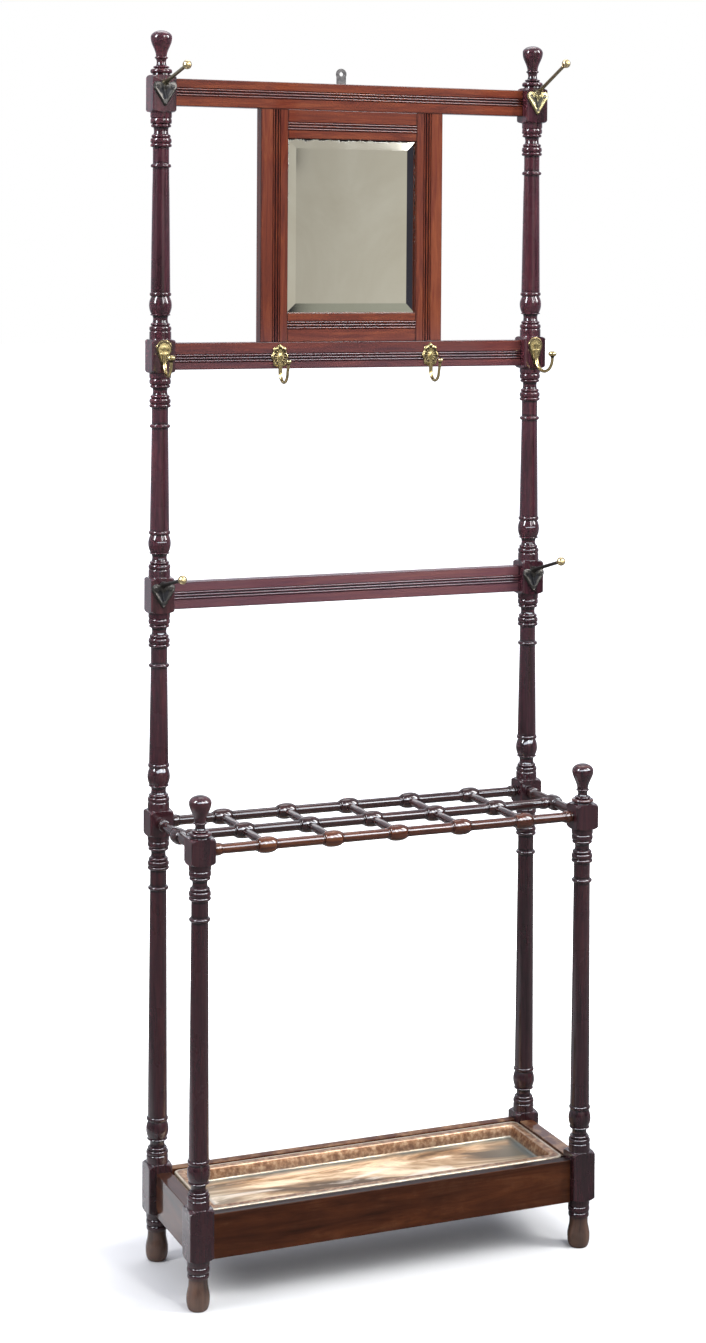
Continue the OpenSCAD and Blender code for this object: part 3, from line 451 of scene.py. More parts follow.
def silvered_glass():
    """Old mirror: wavy and a little clouded, foxed where its silvering meets the edges."""
    s = Shader("old_silvered_glass")
    here = s("TexCoord").outputs["Object"]
    edge = s.attribute("edge")
    blotch = s.noise(here, 70, 6, 0.75, 0.5)
    fleck = s.noise(here, 260, 4, 0.7)
    fox = s.plus(s.times(blotch, 0.75), s.times(fleck, 0.35))
    fox = s.plus(fox, s.times(edge, 0.5))
    fox = s.step(fox, 0.96, 1.0)
    haze = s.noise(here, 5, 4, 0.6, 0.6)
    colour = s.ramp(haze, (0.35, (0.66, 0.645, 0.58)), (0.65, (0.74, 0.735, 0.68)))
    colour = s.mix(fox, colour, (0.02, 0.017, 0.015, 1))
    rough = s.plus(s.step(haze, 0.3, 0.7, 0.035, 0.075), s.times(fox, 0.5))
    wave = s.noise(here, 7, 2, 0.4)
    return s.finish(colour, rough, ((wave, 0.15, 0.0012),), Metallic=1.0)


def copper_sheet():
    """Worn coppery sheet: tan and brown clouds, grey-green in the cove, pale streaks."""
    s = Shader("cloudy_copper_sheet")
    slow = s.place((0.22, 1.0, 1.0), False)
    plain = s.place(shuffle=False)
    cloud = s.noise(slow, 9, 6, 0.62, 1.2)
    colour = s.ramp(cloud, (0.38, (0.1, 0.06, 0.03)), (0.46, (0.42, 0.26, 0.13)),
                    (0.54, (0.95, 0.76, 0.52)), (0.64, (0.46, 0.43, 0.34)))
    far = s.math("ABSOLUTE", s("SeparateXYZ", {0: plain}).outputs[0])
    colour = s.mix(s.step(far, 0.16, 0.3, 0.0, 0.6), colour, (0.2, 0.2, 0.16, 1))
    streak = s.step(s.noise(slow, 26, 5, 0.55, 0.8), 0.56, 0.66)
    colour = s.mix(s.times(streak, 0.7), colour, (0.9, 0.82, 0.7, 1))
    cove = s.times(s.attribute("dirt"), s.step(s.noise(plain, 20), 0.25, 0.5, 0.5, 1.0))
    wall = s.attribute("wall")
    rust = s.ramp(s.noise(plain, 110, 5, 0.6), (0.36, (0.15, 0.06, 0.025)),
                  (0.5, (0.29, 0.145, 0.07)), (0.66, (0.5, 0.33, 0.2)))
    colour = s.mix(wall, colour, rust)
    colour = s.mix(cove, colour, (0.15, 0.175, 0.165, 1))
    rim = s.times(s.attribute("wear"), s.step(s.noise(plain, 40, 4), 0.3, 0.5))
    colour = s.mix(rim, colour, (0.5, 0.42, 0.32, 1))
    dents = s.noise(plain, 16, 3, 0.5)
    rough = s.step(cloud, 0.3, 0.7, 0.42, 0.3)
    return s.finish(colour, rough, ((dents, 0.35, 0.002),), Metallic=0.6)


glass = silvered_glass()
copper = copper_sheet()

# ---------- posts ----------


def foot_outline(top):
    return (quarter(0, top * 0.22, 13.5, 19) + ogee(top * 0.24, top * 0.54, 19, 15.6, 12)
            + [(15.6, top * 0.61)] + bead(top * 0.62, top * 0.73, 15.6, COLLAR - 0.6)
            + bead(top * 0.735, top * 0.86, COLLAR - 1.8, COLLAR + 0.2)
            + [(COLLAR - 0.4, top * 0.87), (COLLAR, top * 0.9)])


def bay_foot(z):
    return ([(COLLAR, z + 1), (COLLAR, z + 11), (COLLAR - 0.6, z + 12.8)]
            + bead(z + 13.6, z + 21.4, COLLAR - 1.6, COLLAR + 0.2)
            + bead(z + 21.6, z + 27, NECK + 1.6, NECK + 4)
            + bulge(z + 27.2, z + 38.6, NECK + 1.2, NECK)
            + bead(z + 38.8, z + 42, NECK + 1, COLLAR - 1)
            + bulge(z + 42, z + 70.3, BALL - 3.4, BALL, 14)
            + bead(z + 71, z + 77.8, SHAFT_LOW - 0.6, COLLAR - 0.2)
            + [(SHAFT_LOW, z + 78)])


def bay_head(z):
    return ([(SHAFT_TOP, z - 91.8)] + bead(z - 91.5, z - 85, SHAFT_TOP, COLLAR - 0.9)
            + [(SHAFT_TOP - 0.1, z - 84.6), (SHAFT_TOP - 0.1, z - 58)]
            + bead(z - 57.6, z - 51.4, SHAFT_TOP + 1, COLLAR - 0.2)
            + bead(z - 51, z - 42.6, COLLAR - 2.2, COLLAR - 0.3)
            + bead(z - 42.4, z - 36.6, NECK + 1.5, COLLAR - 2)
            + bulge(z - 36, z - 25.4, NECK + 0.7, NECK - 0.1)
            + bead(z - 25.2, z - 19.3, NECK + 1, COLLAR - 1.2)
            + bead(z - 19, z - 9.8, COLLAR - 1.8, COLLAR - 0.1)
            + [(COLLAR - 0.6, z - 9.3), (COLLAR, z - 7), (COLLAR, z - 1)])


CORNER_SOFT = 2.4
SHOULDER = 9.0
FOOT_TOP, FOOT_FADE = 56, 8
QUARTER_TURN = (0, 6, 12, 18, 24, 30, 36, 40, 42.6, 43.4, 44.2, 45, 45.8, 46.6, 47.4, 50, 54, 60,
                66, 72, 78, 84)
TURN = [radians(90 * q + a) for q in range(4) for a in QUARTER_TURN]


def square_reach(a):
    """Distance from the axis to a soft-cornered square block in direction a."""
    half, flat = BLOCK / 2, BLOCK / 2 - CORNER_SOFT
    c, s = sorted((abs(cos(a)), abs(sin(a))), reverse=True)
    if half * s / c <= flat:
        return half / c
    d = flat * (c + s)
    return d + sqrt(d * d - (2 * flat * flat - CORNER_SOFT ** 2))


def block_rows(z0, z1):
    """Rows of (radius, height, wear) for each direction: lower shoulder, sides, upper shoulder."""
    r0, r1 = COLLAR + 0.3, BLOCK / 2 * sqrt(2) + 0.5

    def rise(r):
        u = unit((r - r0) / (r1 - r0))
        return SHOULDER * (1 - sqrt(1 - u * u))

    reach = [square_reach(a) for a in TURN]
    corner = [unit((r - BLOCK / 2 * 1.33) / 1.2) for r in reach]
    shoulder = []
    for k in range(7):
        shoulder.append([(r0 + (r - r0) * k / 6, rise(r0 + (r - r0) * k / 6),
                          0.9 * (k == 6)) for r in reach])
    rows = [[(r, z0 + h, w) for r, h, w in row] for row in shoulder]
    for lift in (0.8, 2.5):
        rows.append([(r, z0 + rise(r) + lift, c) for r, c in zip(reach, corner)])
    for part in (0.3, 0.5, 0.7):
        rows.append([(r, z0 + (z1 - z0) * part, c) for r, c in zip(reach, corner)])
    for lift in (2.5, 0.8):
        rows.append([(r, z1 - rise(r) - lift, c) for r, c in zip(reach, corner)])
    rows += [[(r, z1 - h, w) for r, h, w in row] for row in reversed(shoulder)]
    return rows


def post(name, x, y, blocks):
    around = len(TURN)
    rows, dirt, wear = [], [], []

    def turned(outline):
        outline = filled(outline)
        low, high = hollows(outline)
        for (r, z), d, w in zip(outline, low, high):
            rows.append([(r, z)] * around)
            dirt.extend([d] * around)
            wear.extend([w * 0.5] * around)

    turned(foot_outline(blocks[0][0]))
    for n, (z0, z1) in enumerate(blocks):
        for row in block_rows(z0, z1):
            rows.append([(r, z) for r, z, w in row])
            dirt.extend([0.0] * around)
            wear.extend([w for r, z, w in row])
        if n + 1 < len(blocks):
            turned(bay_foot(z1) + bay_head(blocks[n + 1][0]))
    verts, faces = skin([[(x + r * cos(a), y + r * sin(a), z)
                          for (r, z), a in zip(row, TURN)] for row in rows])
    foot = [unit((FOOT_TOP - z) / FOOT_FADE) for x, y, z in verts]
    add(name + "_turned", verts, faces, post_wood, "post_mahogany", stands_for=(name,),
        marks={"dirt": dirt, "wear": wear, "foot": foot}, weighted=True)


def finial_outline(height):
    stem, radius, head = height - 43, 18.2, 43
    return (bead(stem * 0.08, stem * 0.34, COLLAR - 3.4, COLLAR + 0.4)
            + bead(stem * 0.36, stem * 0.5, 9.6, 13.6) + bulge(stem * 0.52, stem * 0.86, 9, 7.9)
            + bead(stem * 0.87, stem * 0.99, 8.8, 11.2)
            + ogee(stem, stem + head * 0.72, 9.2, radius, 14)
            + [(radius * cos(pi / 2 * i / 12),
                stem + head * (0.72 + 0.28 * sin(pi / 2 * i / 12)))
               for i in range(1, 12)] + [(0.6, height - 0.02)])


def build_posts():
    for side, sign in SIDES:
        post("rear_post_" + side, sign * POST_X, POST_Y, BLOCKS)
        post("front_post_" + side, sign * POST_X, FRONT_Y, BLOCKS[:2])
        for row, y, base in (("rear", POST_Y, BLOCKS[4][1]), ("front", FRONT_Y, BLOCKS[1][1])):
            node = f"{row}_finial_{side}"
            height = box_mm(node)[1].z - base
            outline = [(COLLAR - 3.2, 0)] + finial_outline(height)
            lathe(node + "_turned", outline, (sign * POST_X, y, base), "Z", post_wood,
                  "post_mahogany", (node,))


# ---------- rails and the mirror's frame ----------

REEDS, REED, REED_DEEP = 3, 4.8, 1.5


def reeded_section(width, start, thick, soft=0.9):
    """Front face at depth 0, from edge 0 to width, as (depth, place); with wear, and with grime
    and painted shade, darkest in the grooves between the reeds.
    """
    points, dirt, wear = [], [], []

    def put(depth, place, d, w):
        points.append((depth, place))
        dirt.append(d)
        wear.append(w)

    def corner(depth, place, first):
        for i in range(4):
            a = radians(first + 30 * i)
            put(depth - soft * cos(a), place + soft * sin(a), 0.45, 0.2)

    corner(soft, soft, -90)
    put(0, soft + 1.5, 0, 0)
    put(0, start - 1, 0, 0)
    put(0, start, 0.3, 0.3)
    for reed in range(REEDS):
        for j in range(1 if reed else 0, 11):
            t = j / 10
            deep = REED_DEEP * (1 - sin(pi * t))
            # painted shade: the grooves between the reeds are marked dark
            put(deep, start + REED * (reed + t), min(1.0, 2.2 * (1 - sin(pi * t))), 0)
    put(0, start + REEDS * REED, 0.3, 0.3)
    put(0, start + REEDS * REED + 1, 0, 0)
    put(0, width - soft - 1.5, 0, 0)
    corner(soft, width - soft, 0)
    for i in range(4):
        a = radians(90 - 30 * i)
        put(thick - soft + soft * cos(a), width - soft + soft * sin(a), 0, 0.6)
    for i in range(4):
        a = radians(-30 * i)
        put(thick - soft + soft * cos(a), soft + soft * sin(a), 0, 0.6)
    return points, {"dirt": dirt, "wear": wear}


def build_rails():
    ends = (-POST_X + BLOCK / 2, POST_X - BLOCK / 2)
    for node, lift in (("top_rail", 1), ("hook_rail", -3.5), ("lower_rail", 0)):
        low, high = box_mm(node)
        width, thick = high.z - low.z, high.y - low.y
        section, marks = reeded_section(width, (width - REEDS * REED) / 2 + lift, thick)
        prism(node + "_reeded", [(low.y + d, low.z + p) for d, p in section], ends, "X",
              rail_wood["X"], "rail_mahogany", (node,), marks)
    beside = 13.5
    top, bottom = box_mm("mirror_frame_top"), box_mm("mirror_frame_bottom")
    width, thick, front = top[1].z - top[0].z, top[1].y - top[0].y, top[0].y
    inner = {s: box_mm("mirror_stile_" + s) for s in ("left", "right")}
    sight = inner["right"][0].x
    for side, sign in SIDES:
        section, marks = reeded_section(width, beside, thick)
        prism(f"mirror_stile_{side}_reeded",
              [(sign * (sight + p), front + d) for d, p in section],
              (bottom[0].z, top[1].z), "Z", rail_wood["Z"], "rail_mahogany",
              ("mirror_stile_" + side,), marks)
    for name, low, start in (("top", top[0].z, beside),
                             ("bottom", bottom[0].z, width - beside - REEDS * REED)):
        section, marks = reeded_section(width, start, thick)
        prism(f"mirror_frame_{name}_reeded", [(front + d, low + p) for d, p in section],
              (-sight, sight), "X", rail_wood["X"], "rail_mahogany",
              ("mirror_frame_" + name,), marks)


def build_glass():
    """The glass: its back edge, its front edge and three rows up the bevel to the flat."""
    low, high = box_mm("mirror_glass")
    bevel, drop = 21.0, 2.0
    front, back = low.y, high.y
    rows = [(0, back, 1), (0, front + drop, 1)]
    rows += [(inset, front + drop * (1 - inset / bevel), e)
             for inset, e in ((6, 1), (12, 0.35), (bevel, 0))]
    verts, edge = [], []
    for inset, y, e in rows:
        for x, z in ((low.x + inset, low.z + inset), (high.x - inset, low.z + inset),
                     (high.x - inset, high.z - inset), (low.x + inset, high.z - inset)):
            verts.append((x, y, z))
            edge.append(e * (1.0 if z > centre_mm("mirror_glass").z else 0.5))
    faces = grid_faces(5, 4) + [(3, 2, 1, 0), (16, 17, 18, 19)]
    add("bevelled_glass", verts, faces, glass, "mirror_glass", stands_for=("mirror_glass",),
        sharp=2, marks={"edge": edge})


# ---------- stick grid ----------

BAR, BULB, BULB_LONG = 8.6, 13.5, 30.0


def bar_outline(length, bulbs, knob=10.4, bury=0.0):
    half = length / 2
    line = [(4.5, -half - bury), (BAR - 0.4, -half)] if bury else [(BAR - 0.4, -half)]
    line += bead(-half + 0.6, -half + 3, BAR, knob - 1.6, 5)
    line += bead(-half + 3.2, -half + 13.5, BAR + 0.6, knob, 10)
    line += bead(-half + 13.8, -half + 16, BAR - 0.5, BAR + 0.6, 5)
    ends = [(r, -z) for r, z in reversed(line)]
    for at in bulbs:
        z0, z1 = at - BULB_LONG / 2, at + BULB_LONG / 2
        line += [(BAR - 0.3, z0 - 4)] + bead(z0 - 2.6, z0 - 0.4, BAR - 0.4, BAR + 0.8, 5)
        line += bead(z0, z1, BAR + 0.8, BULB, 20)
        line += bead(z1 + 0.4, z1 + 2.6, BAR - 0.4, BAR + 0.8, 5) + [(BAR - 0.3, z1 + 4)]
    return line + ends


def build_grid():
    z = centre_mm("grid_bar_back").z
    ends = POST_X - BLOCK / 2
    places = [centre_mm(f"spindle_back_{i}").x for i in range(1, 6)]
    for row, y in (("back", POST_Y), ("front", FRONT_Y)):
        node = "grid_bar_" + row
        lathe(node + "_turned", bar_outline(2 * ends, places), (0, y, z), "X",
              front_bar_wood if row == "front" else bar_wood["X"], "post_mahogany", (node,), 44)
    long = 2 * (POST_X - 11)
    lathe("grid_bar_middle_turned", bar_outline(long, places, BAR + 1.5), (0, 0, z), "X",
          bar_wood["X"], "post_mahogany", ("grid_bar_middle",), 44)
    for side, sign in SIDES:
        node = "grid_side_" + side
        lathe(node + "_turned", bar_outline(2 * (POST_Y - BLOCK / 2), (0,)),
              (sign * POST_X, 0, z), "Y", bar_wood["Y"], "post_mahogany", (node,), 44)
    for row, sign in (("back", 1), ("front", -1)):
        for i, x in enumerate(places):
            node = f"spindle_{row}_{i + 1}"
            half = POST_Y / 2 - 11
            outline = [(3.2, -half - 2)] + bulge(-half, half, 5.9, 7.1, 16) + [(3.2, half + 2)]
            lathe(node + "_turned", outline, (x, sign * POST_Y / 2, z), "Y", bar_wood["Y"],
                  "post_mahogany", (node,), 32)


# ---------- fittings ----------


def tube(name, path, radii, material, slot, columns=20):
    """A round bar of changing thickness along a path of points."""
    points = [Vector(p) for p in path]
    side = Vector((1, 0, 0))
    rows = []
    for i, p in enumerate(points):
        ahead = (points[min(i + 1, len(points) - 1)] - points[max(i - 1, 0)]).normalized()
        u = (side - ahead * side.dot(ahead)).normalized()
        v = ahead.cross(u)
        rows.append([tuple(p + u * (radii[i] * cos(2 * pi * j / columns))
                           + v * (radii[i] * sin(2 * pi * j / columns)))
                     for j in range(columns)])
    verts, faces = skin(rows)
    marks = {"dirt": [0.0] * len(verts), "wear": [0.5] * len(verts)}
    return add(name, verts, faces, material, slot, marks=marks)


def relief(name, outline, at, height, material, slot, rings=14, middle=(0, 0)):
    """A cast plate in the XZ plane facing -Y: outline is (x, z) round its edge and at its origin
    on the wood. height(x, z, edge) gives its thickness and grime; edge is 1 at the rim."""
    columns = len(outline)
    cx, cz = middle
    verts = [(at[0] + x, at[1], at[2] + z) for x, z in outline]
    dirt, wear = [0.6] * columns, [0.0] * columns
    for k in range(rings):
        part = 1 - k / rings
        for x, z in outline:
            px, pz = cx + (x - cx) * part, cz + (z - cz) * part
            h, d = height(px, pz, part)
            verts.append((at[0] + px, at[1] - h, at[2] + pz))
            dirt.append(d)
            wear.append(unit((h - 1.5) / 3) * (1 - d))
    faces = grid_faces(rings + 1, columns)
    faces.append(tuple(range(columns))[::-1])
    last = rings * columns
    h, d = height(cx, cz, 0)
    verts.append((at[0] + cx, at[1] - h, at[2] + cz))
    dirt.append(d)
    wear.append(0.5)
    for j in range(columns):
        faces.append((last + j, last + (j + 1) % columns, len(verts) - 1))
    return add(name, verts, faces, material, slot, sharp=50, marks={"dirt": dirt, "wear": wear})


def joined(name, pieces, stands_for):
    """One object from several, which then replaces CAD nodes."""
    with bpy.context.temp_override(active_object=pieces[0], selected_editable_objects=pieces):
        bpy.ops.object.join()
    pieces[0].name = name
    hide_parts(*stands_for)
    return pieces[0]


def dense(outline, pitch=1.2):
    """The closed outline with more points on its long sides."""
    out = []
    for (x0, z0), (x1, z1) in zip(outline, outline[1:] + outline[:1]):
        count = max(1, round(hypot(x1 - x0, z1 - z0) / pitch))
        out += [(x0 + (x1 - x0) * i / count, z0 + (z1 - z0) * i / count) for i in range(count)]
    return out


def near_line(x, z, x0, z0, x1, z1):
    """Distance from a point to a line's stretch."""
    dx, dz = x1 - x0, z1 - z0
    t = unit(((x - x0) * dx + (z - z0) * dz) / (dx * dx + dz * dz))
    return hypot(x - x0 - t * dx, z - z0 - t * dz)


def ridge(distance, width, high):
    return high * exp(-(distance / width) ** 2)


def rim_fall(edge, thick):
    """A plate's own thickness, rounding off to its edge."""
    t = unit((1 - edge) / 0.12)
    return thick * (0.45 + 0.55 * sin(pi / 2 * t))


def flat_at_screws(h, x, z, screws, level, fade=1.0):
    """The height h, brought to one level round each screw."""
    for sx, sz in screws:
        blend = unit((hypot(x - sx, z - sz) - SCREW_HEAD) / fade)
        h = h * blend + level * (1 - blend)
    return h


def dome(radius, start, pitch):
    """A ball's outline from start degrees to its far end."""
    return [(radius * cos(radians(a)), radius * sin(radians(a)))
            for a in range(start, 90, pitch)] + [(0.05, radius)]


def tapered(count, thick, loss):
    """Radii of a prong that gets thinner over the first half of its path."""
    return [thick - loss * min(1.0, i / (count * 0.5)) for i in range(count)]


SCREW_HEAD = 3.4
ROOT_UP = 18.0
SHIELD = dense(arc(12.5, 11.5, 8, -32, 100) + arc(0, ROOT_UP - 1, 6.5, 10, 170)
               + arc(-12.5, 11.5, 8, 80, 212) + arc(0, -18.5, 2.6, 212, 328))
PEG_SCREWS = ((-13, 11), (13, 11), (0, -13))


def shield_height(x, z, edge):
    h = rim_fall(edge, 2.3)
    dip = ridge(near_line(x, z, -6, 6, 0, -6), 3.5, 0.5) + ridge(
        near_line(x, z, 6, 6, 0, -6), 3.5, 0.5)
    for sign in (-1, 1):
        h += ridge(near_line(x, z, sign * 17, 8, 0, -17), 1.7, 1.3)
        h += ridge(near_line(x, z, sign * 5, 17, 0, -8), 1.3, 1.0)
    h += ridge(near_line(x, z, 0, ROOT_UP + 1, 0, ROOT_UP - 6), 4.5, 2.6)
    return flat_at_screws(h, x, z, PEG_SCREWS, 3.1, 1.2) - dip * 0.6, unit(dip)


# name, side, height of the plate, rise in degrees and how far out the ball sits
PEGS = (("top_left", -1, 1950.5, 11, 112), ("top_right", 1, 1955, 22.5, 107),
        ("low_left", -1, 1120.5, 12, 99), ("low_right", 1, 1116.5, 14.5, 105))
SHIELD_THICK = 3.5


def build_pegs():
    for name, sign, z, rise, reach in PEGS:
        x = sign * POST_X
        lean = radians(rise)
        plate_look = brassy_iron if name == "top_right" else dark_iron
        rod_look = rubbed_rod if name.startswith("top") else dark_iron
        plate = relief("plate", SHIELD, (x, BLOCK_FRONT, z), shield_height, plate_look,
                       "dark_iron", middle=(0, 2))
        long = (reach - SHIELD_THICK) / cos(lean)
        steps = [-2, 0, 1.5, 3, 5, 8, 12, 20, 40, 60, 80, long - 12, long - 8, long - 7.2]
        radii = [6.2, 6.0, 5.6, 4.9, 4.2, 3.7, 3.4, 3.25, 3.1, 3.0, 2.95, 2.9, 2.9, 3.4]
        root = Vector((x, BLOCK_FRONT - SHIELD_THICK, z + ROOT_UP))
        out = Vector((0, -cos(lean), sin(lean)))
        rod = tube("rod", [root + out * s for s in steps], radii, rod_look, "dark_iron")
        joined(f"hat_peg_{name}_cast", [plate, rod], ("hat_peg_" + name,))
        ball = [(3.0, -9.2), (4.1, -9), (4.3, -8.2), (3.6, -7.4)] + dome(7.5, -64, 7)
        turn = Matrix.Rotation(radians(90 - rise), 3, "X")
        lathe(f"peg_ball_{name}_turned", ball, root + out * long, "Z", ball_brass, "ball_brass",
              ("peg_ball_" + name,), 36, tilt=turn)


BLOCK_HOOK_SCREWS = ((-7.4, 3), (7.4, 3))


def pear_height(x, z, edge):
    h = rim_fall(edge, 2.2)
    h += ridge(hypot(x, z - 3) - 6, 3.0, 0.5)
    fold = near_line(x, z, 0, -24, 0, -8)
    if z < -4:
        h += 1.2 * max(0.0, 1 - fold / 5) * min(1.0, (-4 - z) / 6)
    h = flat_at_screws(h, x, z, BLOCK_HOOK_SCREWS, 2.3)
    return h, 0.5 * exp(-((edge - 0.86) / 0.06) ** 2)


PEAR = dense(arc(0, 8, 13.5, -14, 194, 28) + arc(0, -23.5, 3.6, 194, 346, 8), 1.4)
# the rail hooks' plate is an oval with eight lobes
OVAL_X, OVAL_Z, LOBE = 14.6, 20, 1.3
LOBES = [((OVAL_X + LOBE * cos(radians(8 * a))) * cos(radians(a)),
          (OVAL_Z + LOBE * cos(radians(8 * a))) * sin(radians(a)))
         for a in range(0, 360, 4)]
RAIL_HOOK_SCREWS = ((0, -12), (0, 9))


def cartouche_height(x, z, edge):
    angle = atan2(z / OVAL_Z, x / OVAL_X)
    h = rim_fall(edge, 2.0)
    h += ridge(edge - 0.82, 0.09, 1.3) * (0.7 + 0.3 * cos(8 * angle))
    flute = 0.5 + 0.5 * cos(16 * angle)
    h += 0.8 * flute * unit((edge - 0.35) / 0.15) * (edge < 0.75)
    h = flat_at_screws(h + ridge(edge, 0.3, 1.2), x, z, RAIL_HOOK_SCREWS, 2.3)
    return h, (1 - flute) * 0.8 * (0.4 < edge < 0.8) + 0.6 * (abs(edge - 0.62) < 0.06)


def hook_path(turn, bend, start_z, straight_up, lean=0.0, root_up=12.0, root_y=-2.9):
    """A J from inside the plate, down, round forward and up; straight_up is its last stretch."""
    points = [Vector((0, root_y, start_z + root_up)), Vector((0, root_y, start_z + root_up / 2))]
    for i in range(19):
        a = pi * i / 18
        points.append(Vector((0, root_y - bend + bend * cos(a), start_z - bend * sin(a))))
    tip = points[-1]
    ahead = Vector((0, -sin(lean), cos(lean)))
    points += [tip + ahead * straight_up * i / 4 for i in range(1, 5)]
    return [turn @ p for p in points], turn @ ahead


# name, side and swing in degrees
BLOCK_HOOKS = (("left", -1, -5), ("right", 1, 9))
BLOCK_HOOK_Z, RAIL_HOOK_Z = 1522.5, 1514.0
RAIL_HOOK_LEAN = radians(17)


def build_hooks():
    for side, sign, swing in BLOCK_HOOKS:
        at = Vector((sign * POST_X, BLOCK_FRONT, BLOCK_HOOK_Z))
        plate = relief("plate", PEAR, at, pear_height, hook_brass, "hook_brass")
        turn = Matrix.Rotation(radians(swing), 3, "Z")
        path, ahead = hook_path(turn, 24, -13.5, 1.0)
        prong = tube("prong", [p + at for p in path], tapered(len(path), 3.9, 1.3), hook_brass,
                     "hook_brass")
        cap = [(2.6, -1), (2.9, 0.4), (3.4, 1.6), (4.8, 2.8), (6.1, 3.7), (6.9, 4.8), (7.35, 6.4),
               (7.2, 7.6), (6.5, 8.9), (5.4, 9.8), (4.0, 10.5), (2.2, 11.0), (0.05, 11.15)]
        disc = lathe("disc", cap, path[-1] + at, "Z", hook_brass, "hook_brass", columns=36)
        joined(f"block_hook_{side}_cast", [plate, prong, disc], ("block_hook_" + side,))
    for side in ("left", "right"):
        low, high = box_mm("rail_hook_" + side)
        at = Vector(((low.x + high.x) / 2, high.y, RAIL_HOOK_Z))
        plate = relief("plate", LOBES, at, cartouche_height, hook_brass, "hook_brass", rings=18)
        path, ahead = hook_path(Matrix.Identity(3), 17, -26, 19, RAIL_HOOK_LEAN)
        prong = tube("prong", [p + at for p in path], tapered(len(path), 3.6, 1.1), hook_brass,
                     "hook_brass")
        ball = [(2.5, -5), (2.8, -4.6), (3.0, -3.6)] + dome(4.2, -48, 9)
        lean = Matrix.Rotation(RAIL_HOOK_LEAN, 3, "X")
        knob = lathe("knob", ball, path[-1] + at + ahead * 0.5, "Z", hook_brass, "hook_brass",
                     columns=28, tilt=lean)
        joined(f"rail_hook_{side}_cast", [plate, prong, knob], ("rail_hook_" + side,))


# ---------- base and tray ----------


def build_base():
    inner_x, inner_y = POST_X - BLOCK / 2, POST_Y - BLOCK / 2
    for node, axis, reach in (("apron_front", "X", inner_x), ("apron_rear", "X", inner_x),
                              ("apron_left", "Y", inner_y), ("apron_right", "Y", inner_y)):
        low, high = box_mm(node)
        near, far = (low.y, high.y) if axis == "X" else (low.x, high.x)
        section, wear = rounded_box_section((near, low.z), (far, high.z), 1.4)
        # tops: painted shade on the front one, under the tray's rim; a painted highlight, a pale
        # glare, on the rear and right ones
        dirt = [0.0] * len(wear)
        for n, (u, v) in enumerate(section):
            if v > high.z - 1.0:
                if node == "apron_front" and u >= low.y + 1.0:
                    dirt[n] = 0.85
                wear[n] = {"apron_front": 0.3, "apron_left": 0.5}.get(node, 1.4)
        prism(node + "_board", section, (-reach, reach), axis, base_wood[axis], "base_mahogany",
              (node,), {"wear": wear, "dirt": dirt})


def rounded_loop(w, d, radius, steps=6):
    """Half sizes w and d, corner radius: one loop of (x, y)."""
    loop = []
    for sx, sy, start in ((1, 1, 0), (-1, 1, 90), (-1, -1, 180), (1, -1, 270)):
        loop += arc(sx * (w - radius), sy * (d - radius), radius, start, start + 90, steps)
    return loop


def build_tray():
    low, high = box_mm("drip_tray")
    half_w, half_d, top, roll = high.x, high.y, high.z, 1.8
    floor, sheet, flange, slope, cove = top - 20.0, 1.2, 15.0, 5.0, 4.0
    # (inset from the outer edge, height, dirt, wear) from the floor's edge up, over the rolled
    # edge and back underneath to the floor's underside
    foot = flange + slope + cove
    side = [(foot + 14, floor, 0.0, 0), (foot + 8, floor, 0.6, 0), (foot, floor, 1.0, 0)]
    for i in range(1, 6):
        a = pi / 2 * i / 5
        side.append((flange + slope + cove * (1 - sin(a)), floor + cove * (1 - cos(a)),
                     1.0 - i * 0.15, 0))
    side += [(flange + 1.2, top - 2.2, 0, 0), (flange + 0.4, top - 0.7, 0, 0.4),
             (flange - 0.8, top, 0, 0.3), (flange - 3, top, 0, 0), (2 * roll + 1, top, 0.2, 0),
             (2 * roll, top, 0.3, 0.3)]
    for i in range(0, 11):
        a = radians(90 + 27 * i)
        side.append((roll + roll * cos(a), top - roll + roll * sin(a),
                     0.2 * (i > 5), 1.0 * (i < 5)))
    side += [(2 * roll + 0.6, top - sheet, 0.5, 0), (flange - 0.6, top - sheet, 0.5, 0),
             (flange - 0.4, top - sheet - 1, 0.5, 0), (flange + slope - 1.0, floor + 2, 0.5, 0),
             (flange + slope + 1.5, floor - sheet, 0.5, 0)]
    rows, dirt, wear, wall = [], [], [], []
    for inset, z, d, w in side:
        loop = rounded_loop(half_w - inset, half_d - inset, max(2.0, 12 - inset * 0.35))
        rows.append([(x, y, z) for x, y in loop])
        dirt += [d] * len(loop)
        wear += [w] * len(loop)
        wall += [1.0 * (z > floor + 2 and inset > 2 * roll)] * len(loop)
    verts, faces = skin(rows)
    add("drip_tray_pressed", verts, faces, copper, "tray_copper", "tray", ("drip_tray",), 50,
        {"dirt": dirt, "wear": wear, "wall": wall})


# ---------- carried-over CAD nodes ----------


def dress(node, material):
    mesh = frame["nodes"][node].data
    mesh.materials.clear()
    mesh.materials.append(material)


def dress_rest():
    for node in ("hanger_plate", "hanger_screws", "bearer_screws", "back_board_brads"):
        dress(node, steel)
    dress("hat_peg_screws", dark_iron)
    dress("coat_hook_screws", hook_brass)
    dress("mirror_back_board", board_wood)
    for side in ("front", "rear", "left", "right"):
        dress("bearer_" + side, bearer_wood)


build_posts()
build_rails()
build_glass()
build_grid()
build_pegs()
build_hooks()
build_base()
build_tray()
dress_rest()

# ---------- floor, light and camera ----------


